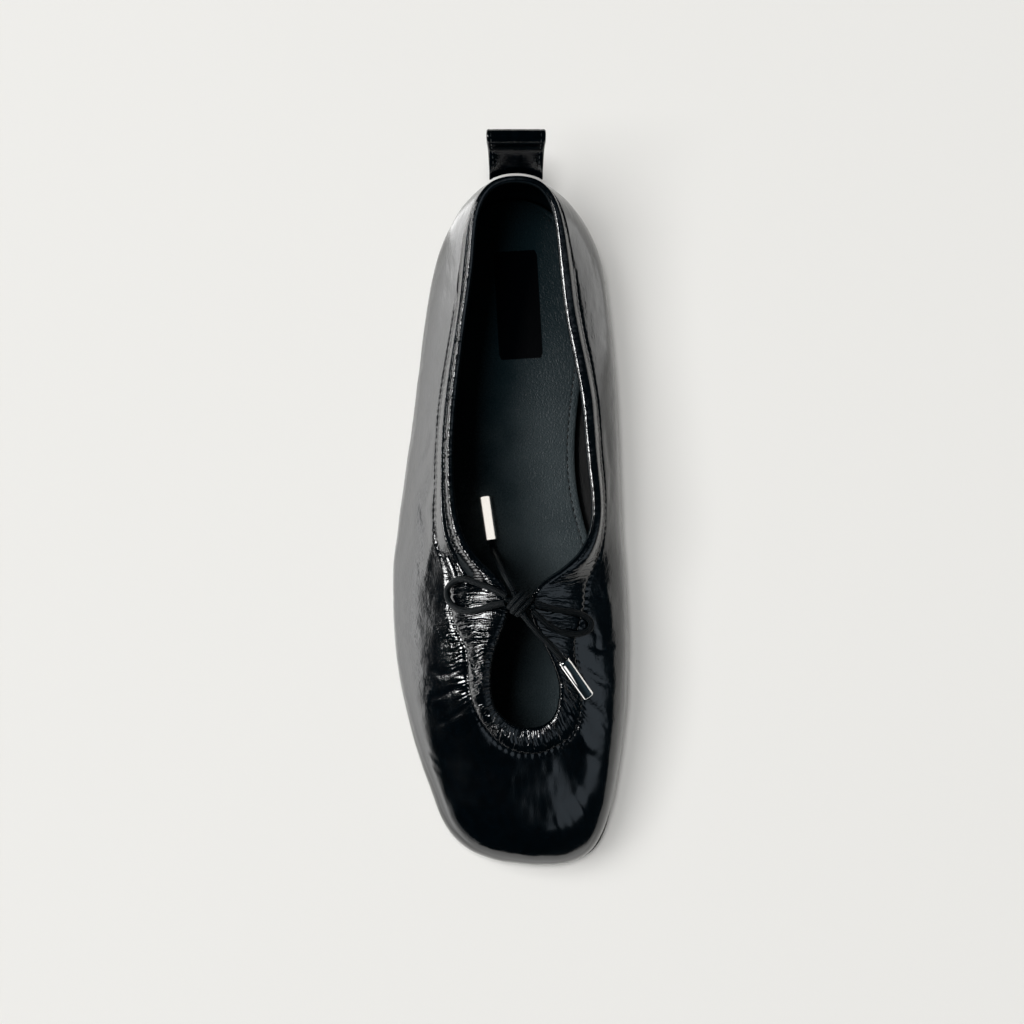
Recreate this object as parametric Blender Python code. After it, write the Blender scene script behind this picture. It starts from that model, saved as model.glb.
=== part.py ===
import math
from collections import namedtuple

import bmesh
import bpy
import numpy as np

# A right ballet flat in patent leather with a drawstring topline and a keyhole cut-out.
# Metres. X points to the inner side of the foot, the toe points to -Y, Z is up.
# The origin is on the floor under the middle of the heel.

# Size of the last
SHOE_LENGTH = 0.250
HEEL_BACK_Y = 0.030
BALL_WIDTH = 0.0857
HEEL_WIDTH = 0.0650
BACK_HEIGHT = 0.0508
WAIST_HEIGHT = 0.0430
THROAT_HEIGHT = 0.0463
VAMP_HEIGHT = 0.0330
BELLY_RISE = 0.0142
FEATHER_TUCK = 0.0090

# Upper
WALL = 0.0016
CASING_WIDTH = 0.0095
CASING_RAISE = 0.0008
RIM_THICKNESS = 0.0030

# Bottom of the shoe
SOLE_THICKNESS = 0.0035
SOLE_LIP = 0.0022
TOE_SPRING = 0.0070
HEEL_HEIGHT = 0.0085
HEEL_BLOCK_LENGTH = 0.0510
HEEL_BLOCK_INSET = 0.0008
HEEL_TAPER = 0.0012
INSOLE_THICKNESS = 0.0026
INSOLE_CLEARANCE = 0.0005
INSOLE_NOTCH = 0.0048
GAP = 0.0003

# Pull tab
TAB_WIDTH = 0.0192
TAB_FLARE = 0.11
TAB_THICKNESS = 0.0012
TAB_SEAT = 0.0007
TAB_RISE = 0.0168
TAB_LEAN = math.radians(32)
TAB_SEWN = 0.0120
TAB_ROLL = 0.0021
TAB_DROP = 0.0010
TAB_PUFF = 0.0006
TAB_BACK_ZONE = 0.022

# Bow cord and its metal ends
CORD_DIAMETER = 0.0022
KNOT_LENGTH = 0.0094
KNOT_WIDTH = 0.0074
KNOT_HEIGHT = 0.0056
KNOT_WRAP = 0.07
AGLET_LENGTH = 0.0163
AGLET_DIAMETER = 0.0047
AGLET_BORE = 0.0030
AGLET_CAP = 0.0012
AGLET_CHAMFER = 0.0003

# Where the arch and the toe spring start, as shares of the length from the heel's back
ARCH_RUN_IN = 0.015
ARCH_END = 0.53
FLAT_END = 0.715
SPRING_POWER = 1.9

# How finely the forms are cut into flats, and the small flats left at their ends
STATIONS = 92
OUTLINE_POINTS = 240
PLATE_ROWS = 34
HEEL_ROWS = 18
TAB_STEPS = 30
TAB_COLUMNS = 8
AGLET_SIDES = 16
PLATE_END = 0.0002
AGLET_END = 0.0006

# One row for each section round the shoe, from the back along the outer side to the toe
# and home along the inner side.
# along, side: the widest point, as shares of the length from the back and of the local width
# belly: its height above the feather line, as a share of BELLY_RISE
# tuck, lip, notch: shares of FEATHER_TUCK, SOLE_LIP and INSOLE_NOTCH
# top_along, top_side: the topline; top_rise: its height as a share of the height top_of names
# full, reach: how far the wall goes straight up from its widest point, and straight out from
# the topline, as shares of the rise and of the span; slope: its angle at the topline
# casing: width of the drawstring casing as a share of CASING_WIDTH
Section = namedtuple("Section", "along side belly tuck lip notch top_along top_side top_of"
                     " top_rise full reach slope casing")
SECTIONS = [
    Section(0.000, 0.011, 0.60, 0.36, 0.15, 0.0, 0.016, 0.031, "back", 1.000, 0.40, 0.33, 82, 0.60),
    Section(0.015, -0.206, 0.60, 0.36, 0.15, 0.0, 0.026, -0.142, "back", 0.998, 0.40, 0.33, 80, 0.60),
    Section(0.058, -0.348, 0.60, 0.36, 0.15, 0.0, 0.066, -0.234, "back", 0.974, 0.38, 0.33, 74, 0.62),
    Section(0.115, -0.445, 0.60, 0.36, 0.15, 0.0, 0.124, -0.260, "back", 0.941, 0.36, 0.33, 68, 0.70),
    Section(0.184, -0.496, 0.62, 0.38, 0.15, 0.0, 0.188, -0.286, "waist", 1.070, 0.34, 0.33, 66, 0.70),
    Section(0.280, -0.501, 0.72, 0.42, 0.15, 0.0, 0.284, -0.309, "waist", 1.019, 0.30, 0.33, 62, 0.82),
    Section(0.380, -0.494, 0.82, 0.44, 0.15, 0.0, 0.380, -0.309, "waist", 0.995, 0.26, 0.33, 58, 0.88),
    Section(0.472, -0.499, 0.92, 0.40, 0.15, 0.0, 0.468, -0.286, "waist", 1.000, 0.24, 0.35, 52, 0.94),
    Section(0.536, -0.513, 0.97, 0.34, 0.15, 0.0, 0.541, -0.229, "waist", 1.030, 0.24, 0.40, 36, 1.15),
    Section(0.576, -0.522, 1.00, 0.31, 0.15, 0.0, 0.581, -0.134, "throat", 0.983, 0.24, 0.44, 20, 1.55),
    Section(0.606, -0.524, 1.00, 0.31, 0.15, 0.0, 0.604, -0.065, "throat", 0.998, 0.24, 0.48, 14, 2.10),
    Section(0.628, -0.524, 1.00, 0.31, 0.15, 0.0, 0.622, -0.046, "throat", 1.002, 0.24, 0.49, 12, 2.20),
    Section(0.652, -0.520, 1.00, 0.30, 0.15, 0.0, 0.645, -0.057, "throat", 0.991, 0.26, 0.49, 12, 2.00),
    Section(0.706, -0.504, 0.96, 0.28, 0.15, 0.0, 0.682, -0.096, "throat", 0.942, 0.32, 0.47, 13, 1.12),
    Section(0.772, -0.469, 0.84, 0.25, 0.15, 0.0, 0.730, -0.123, "throat", 0.864, 0.42, 0.45, 13, 0.76),
    Section(0.836, -0.420, 0.66, 0.22, 0.15, 0.0, 0.770, -0.111, "vamp", 1.118, 0.54, 0.45, 12, 0.60),
    Section(0.900, -0.355, 0.46, 0.20, 0.15, 0.0, 0.787, -0.080, "vamp", 1.052, 0.68, 0.44, 12, 0.64),
    Section(0.961, -0.261, 0.30, 0.20, 0.20, 0.0, 0.801, -0.035, "vamp", 1.012, 0.80, 0.46, 11, 0.72),
    Section(0.990, -0.123, 0.25, 0.20, 0.20, 0.0, 0.808, 0.014, "vamp", 1.000, 0.92, 0.47, 10, 0.79),
    Section(1.000, 0.047, 0.25, 0.20, 0.25, 0.0, 0.809, 0.061, "vamp", 0.997, 0.95, 0.47, 10, 0.84),
    Section(0.999, 0.193, 0.25, 0.20, 0.60, 0.0, 0.807, 0.105, "vamp", 1.003, 0.95, 0.47, 10, 0.84),
    Section(0.981, 0.315, 0.28, 0.20, 1.00, 0.0, 0.798, 0.151, "vamp", 1.024, 0.88, 0.46, 12, 0.86),
    Section(0.937, 0.387, 0.40, 0.20, 1.00, 0.0, 0.782, 0.182, "vamp", 1.067, 0.84, 0.44, 15, 1.02),
    Section(0.872, 0.429, 0.58, 0.22, 0.70, 0.0, 0.754, 0.198, "vamp", 1.139, 0.78, 0.42, 19, 1.14),
    Section(0.792, 0.460, 0.80, 0.26, 0.30, 0.0, 0.722, 0.183, "throat", 0.873, 0.70, 0.40, 22, 1.12),
    Section(0.720, 0.475, 0.95, 0.31, 0.15, 0.0, 0.686, 0.137, "throat", 0.935, 0.64, 0.40, 22, 1.10),
    Section(0.664, 0.477, 1.00, 0.36, 0.15, 0.0, 0.651, 0.088, "throat", 0.985, 0.60, 0.40, 20, 1.70),
    Section(0.628, 0.473, 1.02, 0.42, 0.15, 0.1, 0.626, 0.076, "throat", 1.000, 0.58, 0.40, 20, 2.05),
    Section(0.600, 0.468, 1.02, 0.48, 0.15, 0.2, 0.608, 0.105, "throat", 0.996, 0.56, 0.40, 22, 1.85),
    Section(0.566, 0.461, 1.02, 0.58, 0.15, 0.4, 0.589, 0.181, "throat", 0.985, 0.54, 0.38, 32, 1.55),
    Section(0.528, 0.454, 1.00, 0.72, 0.15, 0.6, 0.562, 0.273, "throat", 0.965, 0.52, 0.36, 50, 1.22),
    Section(0.472, 0.455, 0.96, 0.90, 0.15, 0.9, 0.510, 0.331, "waist", 1.014, 0.48, 0.34, 66, 1.00),
    Section(0.400, 0.471, 0.88, 1.00, 0.15, 1.0, 0.432, 0.341, "waist", 0.998, 0.44, 0.33, 70, 0.94),
    Section(0.304, 0.501, 0.76, 0.84, 0.15, 0.7, 0.330, 0.345, "waist", 1.000, 0.40, 0.33, 70, 0.95),
    Section(0.204, 0.516, 0.64, 0.55, 0.15, 0.2, 0.222, 0.324, "waist", 1.042, 0.38, 0.33, 70, 0.80),
    Section(0.117, 0.475, 0.60, 0.40, 0.15, 0.0, 0.122, 0.275, "back", 0.941, 0.38, 0.33, 70, 0.70),
    Section(0.060, 0.378, 0.60, 0.36, 0.15, 0.0, 0.064, 0.231, "back", 0.976, 0.38, 0.33, 75, 0.62),
    Section(0.016, 0.209, 0.60, 0.36, 0.15, 0.0, 0.028, 0.154, "back", 0.998, 0.40, 0.33, 80, 0.60),
]
TOP_HEIGHTS = {"back": BACK_HEIGHT, "waist": WAIST_HEIGHT, "throat": THROAT_HEIGHT,
               "vamp": VAMP_HEIGHT}

# Routes of the bow's cord, chosen by hand, in millimetres from the origin
KNOT_CENTRE = (1.5, -127.0, 49.5)
KNOT_TURN = math.radians(-12)
LOOP_LATERAL = [
    (-3.2, -124.6, 50.6), (-6.8, -122.7, 49.8), (-10.0, -121.3, 48.6), (-13.2, -119.9, 47.4),
    (-15.9, -118.9, 46.4), (-18.4, -118.2, 45.2), (-20.9, -118.3, 43.9), (-23.2, -119.6, 42.5),
    (-24.6, -121.8, 41.3), (-24.5, -124.4, 41.2), (-23.2, -126.8, 42.0), (-21.0, -128.5, 43.4),
    (-18.5, -129.4, 44.7), (-15.7, -129.5, 46.0), (-12.6, -128.9, 47.4), (-8.5, -127.8, 49.2),
    (-4.0, -126.9, 50.6),
]
LOOP_MEDIAL = [
    (6.9, -127.3, 50.5), (10.5, -128.2, 49.4), (14.9, -129.2, 46.7), (19.4, -129.7, 44.3),
    (22.8, -130.4, 42.3), (25.5, -131.6, 40.7), (26.9, -133.5, 40.0), (26.5, -135.5, 40.2),
    (24.6, -136.9, 41.3), (22.1, -137.6, 42.7), (19.4, -137.6, 44.2), (14.9, -136.5, 46.4),
    (10.5, -134.0, 48.8), (8.0, -131.7, 49.9), (5.8, -129.9, 50.5),
]
TAIL_UPPER = [
    (-0.8, -122.6, 50.9), (-2.2, -120.2, 51.1), (-3.6, -117.6, 49.2), (-5.0, -114.6, 43.0),
    (-6.3, -111.4, 34.4), (-7.2, -108.9, 25.4), (-7.9, -107.0, 16.8), (-8.3, -105.6, 11.9),
    (-8.6, -104.4, 10.0), (-8.9, -102.8, 9.75), (-9.13, -101.3, 9.85), (-9.43, -99.2, 9.94),
]
TAIL_LOWER = [
    (2.9, -131.7, 50.4), (4.6, -133.8, 50.2), (6.4, -135.9, 49.4), (8.3, -138.0, 48.4),
    (10.6, -140.2, 47.6), (12.9, -142.7, 46.8), (15.0, -145.0, 45.9), (16.5, -146.9, 45.05),
    (17.8, -148.7, 44.3),
]
AGLET_UPPER = ((-9.1, -101.4, 9.85), (-11.5, -85.4, 10.5))
AGLET_LOWER = ((16.7, -147.1, 44.95), (25.3, -159.1, 40.25))


def clear_scene():
    for item in list(bpy.data.objects):
        bpy.data.objects.remove(item, do_unlink=True)


def material(name, colour, roughness, metallic=0.0):
    made = bpy.data.materials.new(name)
    made.use_nodes = True
    shader = made.node_tree.nodes["Principled BSDF"]
    shader.inputs["Base Color"].default_value = (*colour, 1.0)
    shader.inputs["Roughness"].default_value = roughness
    shader.inputs["Metallic"].default_value = metallic
    return made


def smooth(value):
    value = np.clip(value, 0.0, 1.0)
    return value * value * (3 - 2 * value)


def local_width(along):
    return HEEL_WIDTH + (BALL_WIDTH - HEEL_WIDTH) * smooth((along - 0.14) / 0.40)


def at_y(along):
    return HEEL_BACK_Y - along * SHOE_LENGTH


def along_at(y):
    return (HEEL_BACK_Y - y) / SHOE_LENGTH


def ground_rise(y):
    """Height of the sole's underside: heel seat, arch, flat under the ball, toe spring."""
    along = along_at(np.asarray(y, dtype=float))
    arch_start = HEEL_BLOCK_LENGTH / SHOE_LENGTH + ARCH_RUN_IN
    seat = HEEL_HEIGHT + GAP
    arch = seat * (1 - smooth((along - arch_start) / (ARCH_END - arch_start)))
    spring = TOE_SPRING * np.clip((along - FLAT_END) / (1 - FLAT_END), 0, None) ** SPRING_POWER
    return arch + spring


def feather_height(y):
    return ground_rise(y) + SOLE_THICKNESS + GAP


def closed_spline(knots, period, rows, wanted):
    """Periodic cubic spline through rows of numbers, read at the wanted places."""
    count = len(rows)
    steps = np.append(np.diff(knots), period - knots[-1] + knots[0])
    system = np.zeros((count, count))
    right = np.zeros_like(rows)
    for i in range(count):
        before = i - 1
        after = (i + 1) % count
        system[i, before] += steps[before]
        system[i, i] += 2 * (steps[before] + steps[i])
        system[i, after] += steps[i]
        right[i] = 6 * ((rows[after] - rows[i]) / steps[i] - (rows[i] - rows[before]) / steps[before])
    bend = np.linalg.solve(system, right)
    wanted = np.mod(wanted, period)
    row = np.clip(np.searchsorted(knots, wanted, side="right") - 1, 0, count - 1)
    after = (row + 1) % count
    step = steps[row][:, None]
    b = (wanted - knots[row])[:, None] / step
    a = 1 - b
    return (a * rows[row] + b * rows[after]
            + ((a ** 3 - a) * bend[row] + (b ** 3 - b) * bend[after]) * step ** 2 / 6)


def open_spline(points, count):
    """Smooth curve through hand-chosen points, read at even steps of its length."""
    points = np.array(points, dtype=float)
    chord = np.append(0, np.cumsum(np.linalg.norm(np.diff(points, axis=0), axis=1)))
    steps = np.diff(chord)
    size = len(points)
    system = np.eye(size)
    right = np.zeros_like(points)
    for i in range(1, size - 1):
        system[i, i - 1] = steps[i - 1]
        system[i, i] = 2 * (steps[i - 1] + steps[i])
        system[i, i + 1] = steps[i]
        right[i] = 6 * ((points[i + 1] - points[i]) / steps[i]
                        - (points[i] - points[i - 1]) / steps[i - 1])
    bend = np.linalg.solve(system, right)
    wanted = np.linspace(0, chord[-1], count)
    row = np.clip(np.searchsorted(chord, wanted, side="right") - 1, 0, size - 2)
    step = steps[row][:, None]
    b = (wanted - chord[row])[:, None] / step
    a = 1 - b
    return (a * points[row] + b * points[row + 1]
            + ((a ** 3 - a) * bend[row] + (b ** 3 - b) * bend[row + 1]) * step ** 2 / 6)


def section_numbers():
    """The table's rows in metres: widest point, topline point and the shaping columns."""
    rows = []
    for row in SECTIONS:
        rows.append([
            row.side * local_width(row.along), at_y(row.along), row.belly * BELLY_RISE,
            row.top_side * local_width(row.top_along), at_y(row.top_along),
            row.top_rise * TOP_HEIGHTS[row.top_of],
            row.tuck * FEATHER_TUCK, row.lip * SOLE_LIP, row.notch * INSOLE_NOTCH,
            row.full, row.reach, math.radians(row.slope), row.casing * CASING_WIDTH,
        ])
    return np.array(rows)


def read_sections(count):
    """The sections at even steps round the shoe, with the plan direction pointing outwards."""
    rows = section_numbers()
    leap = np.roll(rows[:, [0, 1, 3, 4]], -1, axis=0) - rows[:, [0, 1, 3, 4]]
    chords = np.sqrt((leap ** 2).sum(axis=1))
    knots = np.append(0, np.cumsum(chords[:-1]))
    period = chords.sum()
    places = np.arange(count) / count * period
    read = closed_spline(knots, period, rows, places)
    ahead = closed_spline(knots, period, rows, places + period * 1e-4)
    behind = closed_spline(knots, period, rows, places - period * 1e-4)
    run = (ahead - behind)[:, :2]
    outward = np.column_stack([run[:, 1], -run[:, 0]])
    outward /= np.linalg.norm(outward, axis=1)[:, None]
    middle = read[:, :2].mean(axis=0)
    if ((read[:, :2] - middle) * outward).sum() < 0:
        outward = -outward
    return read, outward


def bezier(points, t):
    t = t[:, None]
    p0, p1, p2, p3 = points
    return (1 - t) ** 3 * p0 + 3 * (1 - t) ** 2 * t * p1 + 3 * (1 - t) * t ** 2 * p2 + t ** 3 * p3


def upper_skin(count, under, body, casing_shares):
    """Grid of the upper's outer skin from the feather line to the topline.

    Returns the points, their outward normals, the directions along and across the rim,
    the plan directions, and for each column its share of the casing (above 1 is the body).
    """
    read, outward = read_sections(count)
    fine = np.linspace(0, 1, 60)
    columns = under + body + len(casing_shares)
    grid = np.zeros((count, columns, 3))
    for i, row in enumerate(read):
        (bx, by, belly, tx, ty, tz, tuck, lip, notch, full, reach, slope, casing) = row
        out = np.array([outward[i][0], outward[i][1], 0.0])
        up = np.array([0, 0, 1.0])
        low = feather_height(by)
        widest = np.array([bx, by, low + belly])
        feather = np.array([bx, by, 0]) - out * tuck
        feather[2] = feather_height(feather[1])
        top = np.array([tx, ty, tz])
        inward = top - widest
        rise = inward[2]
        inward[2] = 0
        level = inward / np.linalg.norm(inward)
        span = np.linalg.norm(top - widest)
        lower = [feather, feather + (widest - feather) * [0.5, 0.5, 0.12],
                 widest - up * 0.5 * (widest[2] - feather[2]), widest]
        higher = [widest, widest + up * full * rise,
                  top - (level * math.cos(slope) + up * math.sin(slope)) * reach * span, top]
        grid[i, :under] = bezier(lower, np.arange(under) / under)
        curve = bezier(higher, fine)
        length = np.append(0, np.cumsum(np.linalg.norm(np.diff(curve, axis=0), axis=1)))
        body_length = length[-1] - casing
        places = np.append(np.arange(body) / body * body_length,
                           length[-1] - np.array(casing_shares) * casing)
        for axis in range(3):
            grid[i, under:, axis] = np.interp(places, length, curve[:, axis])
    along_rim = np.roll(grid, -1, axis=0) - np.roll(grid, 1, axis=0)
    up_wall = np.gradient(grid, axis=1)
    normal = np.cross(along_rim, up_wall)
    plan = np.column_stack([outward, np.zeros(count)])
    if (normal[:, under // 2] * plan).sum() < 0:
        normal = -normal
    normal /= np.linalg.norm(normal, axis=2)[:, :, None]
    turn = smooth(np.arange(columns) / (under + 1))[None, :, None]
    normal = normal * turn + plan[:, None, :] * (1 - turn)
    normal /= np.linalg.norm(normal, axis=2)[:, :, None]
    across = np.cross(along_rim[:, -1], normal[:, -1])
    across /= np.linalg.norm(across, axis=1)[:, None]
    facing = ((grid[:, -1] - grid[:, -2]) * across).sum(axis=1)
    across *= np.sign(facing)[:, None]
    return grid, normal, across, plan


def new_object(name, mesh, made):
    item = bpy.data.objects.new(name, mesh)
    bpy.context.scene.collection.objects.link(item)
    mesh.materials.append(made)
    return item


def finish_mesh(name, shape, made, angle=40):
    bmesh.ops.recalc_face_normals(shape, faces=shape.faces)
    if shape.calc_volume(signed=True) < 0:
        bmesh.ops.reverse_faces(shape, faces=shape.faces)
    mesh = bpy.data.meshes.new(name)
    shape.to_mesh(mesh)
    shape.free()
    mesh.shade_smooth()
    mesh.set_sharp_from_angle(angle=math.radians(angle))
    return new_object(name, mesh, made)


def band(name, rings, made, closed, angle=40):
    """Closed cross-sections joined in order, into a ring or with both ends capped."""
    shape = bmesh.new()
    rows = []
    for ring in rings:
        rows.append([shape.verts.new(point) for point in ring])
    size = len(rows[0])
    steps = len(rows) if closed else len(rows) - 1
    for i in range(steps):
        here = rows[i]
        there = rows[(i + 1) % len(rows)]
        for j in range(size):
            k = (j + 1) % size
            shape.faces.new([here[j], here[k], there[k], there[j]])
    if not closed:
        shape.faces.new(rows[0])
        shape.faces.new(rows[-1])
    return finish_mesh(name, shape, made, angle)


def make_upper(made):
    casing_shares = (1.0, 0.93, 0.62, 0.28, 0.0)
    raised = np.interp(casing_shares, [0, 0.3, 0.65, 0.92, 1.0], [1.0, 1.0, 0.9, 0.7, 0.0])
    body = 7
    under = 3
    grid, normal, across, plan = upper_skin(STATIONS, under, body, casing_shares)
    columns = grid.shape[1]
    outer_lift = np.zeros(columns)
    outer_lift[under + body:] = CASING_RAISE * raised
    inner_sink = np.full(columns, WALL)
    rim_sink = RIM_THICKNESS - CASING_RAISE
    inner_sink[under + body:] = np.interp(casing_shares, [0, 0.3, 0.9], [rim_sink, rim_sink, WALL])
    outer = grid + normal * outer_lift[None, :, None]
    inner = grid - normal * inner_sink[None, :, None]
    inner[:, 0, 2] = outer[:, 0, 2]
    kept = [0, 2, 4, 6, 8] + list(range(under + body, columns))
    kept.remove(under + body + 1)
    half = RIM_THICKNESS / 2
    centre = (outer[:, -1] + inner[:, -1]) / 2
    rings = []
    for i in range(STATIONS):
        cap = []
        for angle in (45, 90, 135):
            turn = math.radians(angle)
            cap.append(centre[i] + normal[i, -1] * half * math.cos(turn)
                       + across[i] * half * math.sin(turn))
        rings.append(list(outer[i]) + cap + [inner[i, j] for j in reversed(kept)])
    return band("upper", rings, made, closed=True, angle=50)


def feather_outline(count):
    """The feather line in plan, its outward direction and the lip and notch at each place."""
    read, outward = read_sections(count)
    line = read[:, :2] - outward * read[:, 6:7]
    return line, outward, read[:, 7], read[:, 8]


def sides_at(outline, y):
    """Outer and inner side of a closed plan outline at each y."""
    toe = int(np.argmin(outline[:, 1]))
    heel = int(np.argmax(outline[:, 1]))
    turned = np.roll(outline, -heel, axis=0)
    toe = (toe - heel) % len(outline)
    first = turned[:toe + 1][::-1]
    second = np.vstack([turned[toe:], turned[:1]])
    one = np.interp(y, first[:, 1], first[:, 0])
    two = np.interp(y, second[:, 1], second[:, 0])
    return np.minimum(one, two), np.maximum(one, two)


def end_crowded(low, high, count):
    """Places from low to high, closer together at both ends."""
    share = np.linspace(0, 1, count)
    eased = 0.5 - 0.5 * np.cos(np.pi * share)
    return low + (high - low) * (0.2 * share + 0.8 * eased)


def plate(name, outline, bottom, top, made):
    """A sole layer: strips across the outline between two height functions of y."""
    low = outline[:, 1].min() + PLATE_END
    high = outline[:, 1].max() - PLATE_END
    rings = []
    for y in end_crowded(low, high, PLATE_ROWS):
        left, right = sides_at(outline, y)
        middle = (left + right) / 2
        under = float(bottom(y))
        over = float(top(y))
        rings.append([(left, y, under), (middle, y, under), (right, y, under),
                      (right, y, over), (middle, y, over), (left, y, over)])
    return band(name, rings, made, closed=False, angle=35)


def sole_outline():
    line, outward, lip, notch = feather_outline(OUTLINE_POINTS)
    return line + outward * lip[:, None]


def make_outsole(made):
    return plate("outsole", sole_outline(), ground_rise, lambda y: ground_rise(y) + SOLE_THICKNESS,
                 made)


def make_insole(made):
    line, outward, lip, notch = feather_outline(OUTLINE_POINTS)
    inset = WALL + INSOLE_CLEARANCE + notch
    return plate("insole", line - outward * inset[:, None], feather_height,
                 lambda y: feather_height(y) + INSOLE_THICKNESS, made)


def make_heel_block(made):
    outline = sole_outline()
    back = outline[:, 1].max() - HEEL_BLOCK_INSET
    breast = back - HEEL_BLOCK_LENGTH
    rings = []
    for y in end_crowded(breast, back - PLATE_END, HEEL_ROWS):
        left, right = sides_at(outline, y + HEEL_BLOCK_INSET)
        left += HEEL_BLOCK_INSET
        right -= HEEL_BLOCK_INSET
        middle = (left + right) / 2
        half = (right - left) / 2
        foot = half - min(HEEL_TAPER, half * 0.3)
        back_shift = HEEL_TAPER * smooth((y - breast) / HEEL_BLOCK_LENGTH)
        rings.append([(middle - foot, y - back_shift, 0), (middle + foot, y - back_shift, 0),
                      (right, y, HEEL_HEIGHT), (left, y, HEEL_HEIGHT)])
    return band("heel_block", rings, made, closed=False, angle=35)


def back_surface(grid, x, z):
    """Y of the upper's outer skin behind the foot at a given x and height."""
    near = np.where(grid[:, 6, 1] > HEEL_BACK_Y - TAB_BACK_ZONE)[0]
    line = []
    for i in near:
        wall = grid[i, 3:]
        line.append([np.interp(z, wall[:, 2], wall[:, 0]), np.interp(z, wall[:, 2], wall[:, 1])])
    line = np.array(sorted(line))
    return float(np.interp(x, line[:, 0], line[:, 1]))


def make_pull_tab(made):
    grid, normal, across, plan = upper_skin(200, 3, 24, (1.0, 0.5, 0.0))
    rim = BACK_HEIGHT + RIM_THICKNESS / 2
    sewn_top = BACK_HEIGHT - TAB_DROP
    lean = np.array([math.sin(TAB_LEAN), math.cos(TAB_LEAN)])
    behind = np.array([math.cos(TAB_LEAN), -math.sin(TAB_LEAN)])
    near = CASING_RAISE + TAB_SEAT + TAB_THICKNESS / 2
    far = near + TAB_THICKNESS + GAP
    heights = sewn_top - TAB_SEWN * np.array([1.0, 0.66, 0.33, 0.0])
    root = np.array([back_surface(grid, 0, sewn_top) + near, rim])
    top = root + lean * TAB_RISE
    middle_gap = behind * TAB_ROLL
    free_front = [root + lean * TAB_RISE * share + behind * TAB_PUFF for share in (0.22, 0.45, 0.70)]
    roll = [top - lean * TAB_ROLL, top + middle_gap * 0.35 - lean * TAB_ROLL * 0.3,
            top + middle_gap, top + middle_gap * 1.65 - lean * TAB_ROLL * 0.3,
            top + middle_gap * 2 - lean * TAB_ROLL]
    spread = 2 * TAB_ROLL
    free_back = [root + lean * TAB_RISE * share + behind * width
                 for share, width in ((0.66, spread), (0.40, spread * 0.86), (0.18, spread * 0.62))]
    path = [(near, z) for z in heights] + free_front + roll + free_back
    path += [(far, z) for z in heights[::-1]]
    sewn = len(heights)
    rings = []
    sides = np.linspace(-0.5, 0.5, TAB_COLUMNS) * TAB_WIDTH
    lines = []
    for x in sides:
        points = []
        for index, (depth, z) in enumerate(path):
            if index < sewn or index >= len(path) - sewn:
                points.append((back_surface(grid, x, z) + depth, z))
            else:
                share = min(1.0, max(0.0, (z - rim) / (TAB_RISE * 0.45)))
                sag = back_surface(grid, x, sewn_top) - back_surface(grid, 0, sewn_top)
                points.append((depth + sag * (1 - smooth(share)), z))
        lines.append(open_spline(points, TAB_STEPS))
    for step in range(TAB_STEPS):
        front = []
        back = []
        for x, line in zip(sides, lines):
            ahead = line[min(step + 1, TAB_STEPS - 1)] - line[max(step - 1, 0)]
            ahead /= np.linalg.norm(ahead)
            side = np.array([ahead[1], -ahead[0]]) * TAB_THICKNESS / 2
            wide = x * (1 + TAB_FLARE * smooth((line[step][1] - rim) / TAB_RISE))
            front.append((wide, *(line[step] - side)))
            back.append((wide, *(line[step] + side)))
        rings.append(front + back[::-1])
    return band("pull_tab", rings, made, closed=False, angle=50)


def make_cord(name, route, made):
    """A free stretch of cord through its hand-chosen route."""
    route = np.array(route) / 1000
    length = np.linalg.norm(np.diff(route, axis=0), axis=1).sum()
    points = open_spline(route, max(4, int(length / (2.2 * CORD_DIAMETER)) + 1))
    curve = bpy.data.curves.new(name, "CURVE")
    curve.dimensions = "3D"
    line = curve.splines.new("POLY")
    line.points.add(len(points) - 1)
    for point, place in zip(line.points, points):
        point.co = (*place, 1.0)
    curve.bevel_depth = CORD_DIAMETER / 2
    curve.bevel_resolution = 2
    curve.use_fill_caps = True
    curve.materials.append(made)
    item = bpy.data.objects.new(name, curve)
    bpy.context.scene.collection.objects.link(item)
    return item


def make_knot(made):
    """The knot as one closed form with three raised wraps across it."""
    rows = 9
    around = 14
    rings = []
    centre = np.array(KNOT_CENTRE) / 1000
    long_way = np.array([math.cos(KNOT_TURN), math.sin(KNOT_TURN), 0])
    wide_way = np.array([-math.sin(KNOT_TURN), math.cos(KNOT_TURN), 0])
    for i in range(rows):
        polar = math.pi * (i + 0.6) / (rows + 0.2)
        wrap = 1 + KNOT_WRAP * math.cos(6 * polar)
        ring = []
        for j in range(around):
            turn = 2 * math.pi * j / around
            out = math.sin(polar) ** 0.7 * wrap
            ring.append(centre + long_way * KNOT_LENGTH / 2 * math.cos(polar)
                        + wide_way * KNOT_WIDTH / 2 * out * math.cos(turn)
                        + np.array([0, 0, KNOT_HEIGHT / 2 * out * math.sin(turn)]))
        rings.append(ring)
    return band("bow_knot", rings, made, closed=False, angle=60)


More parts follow.
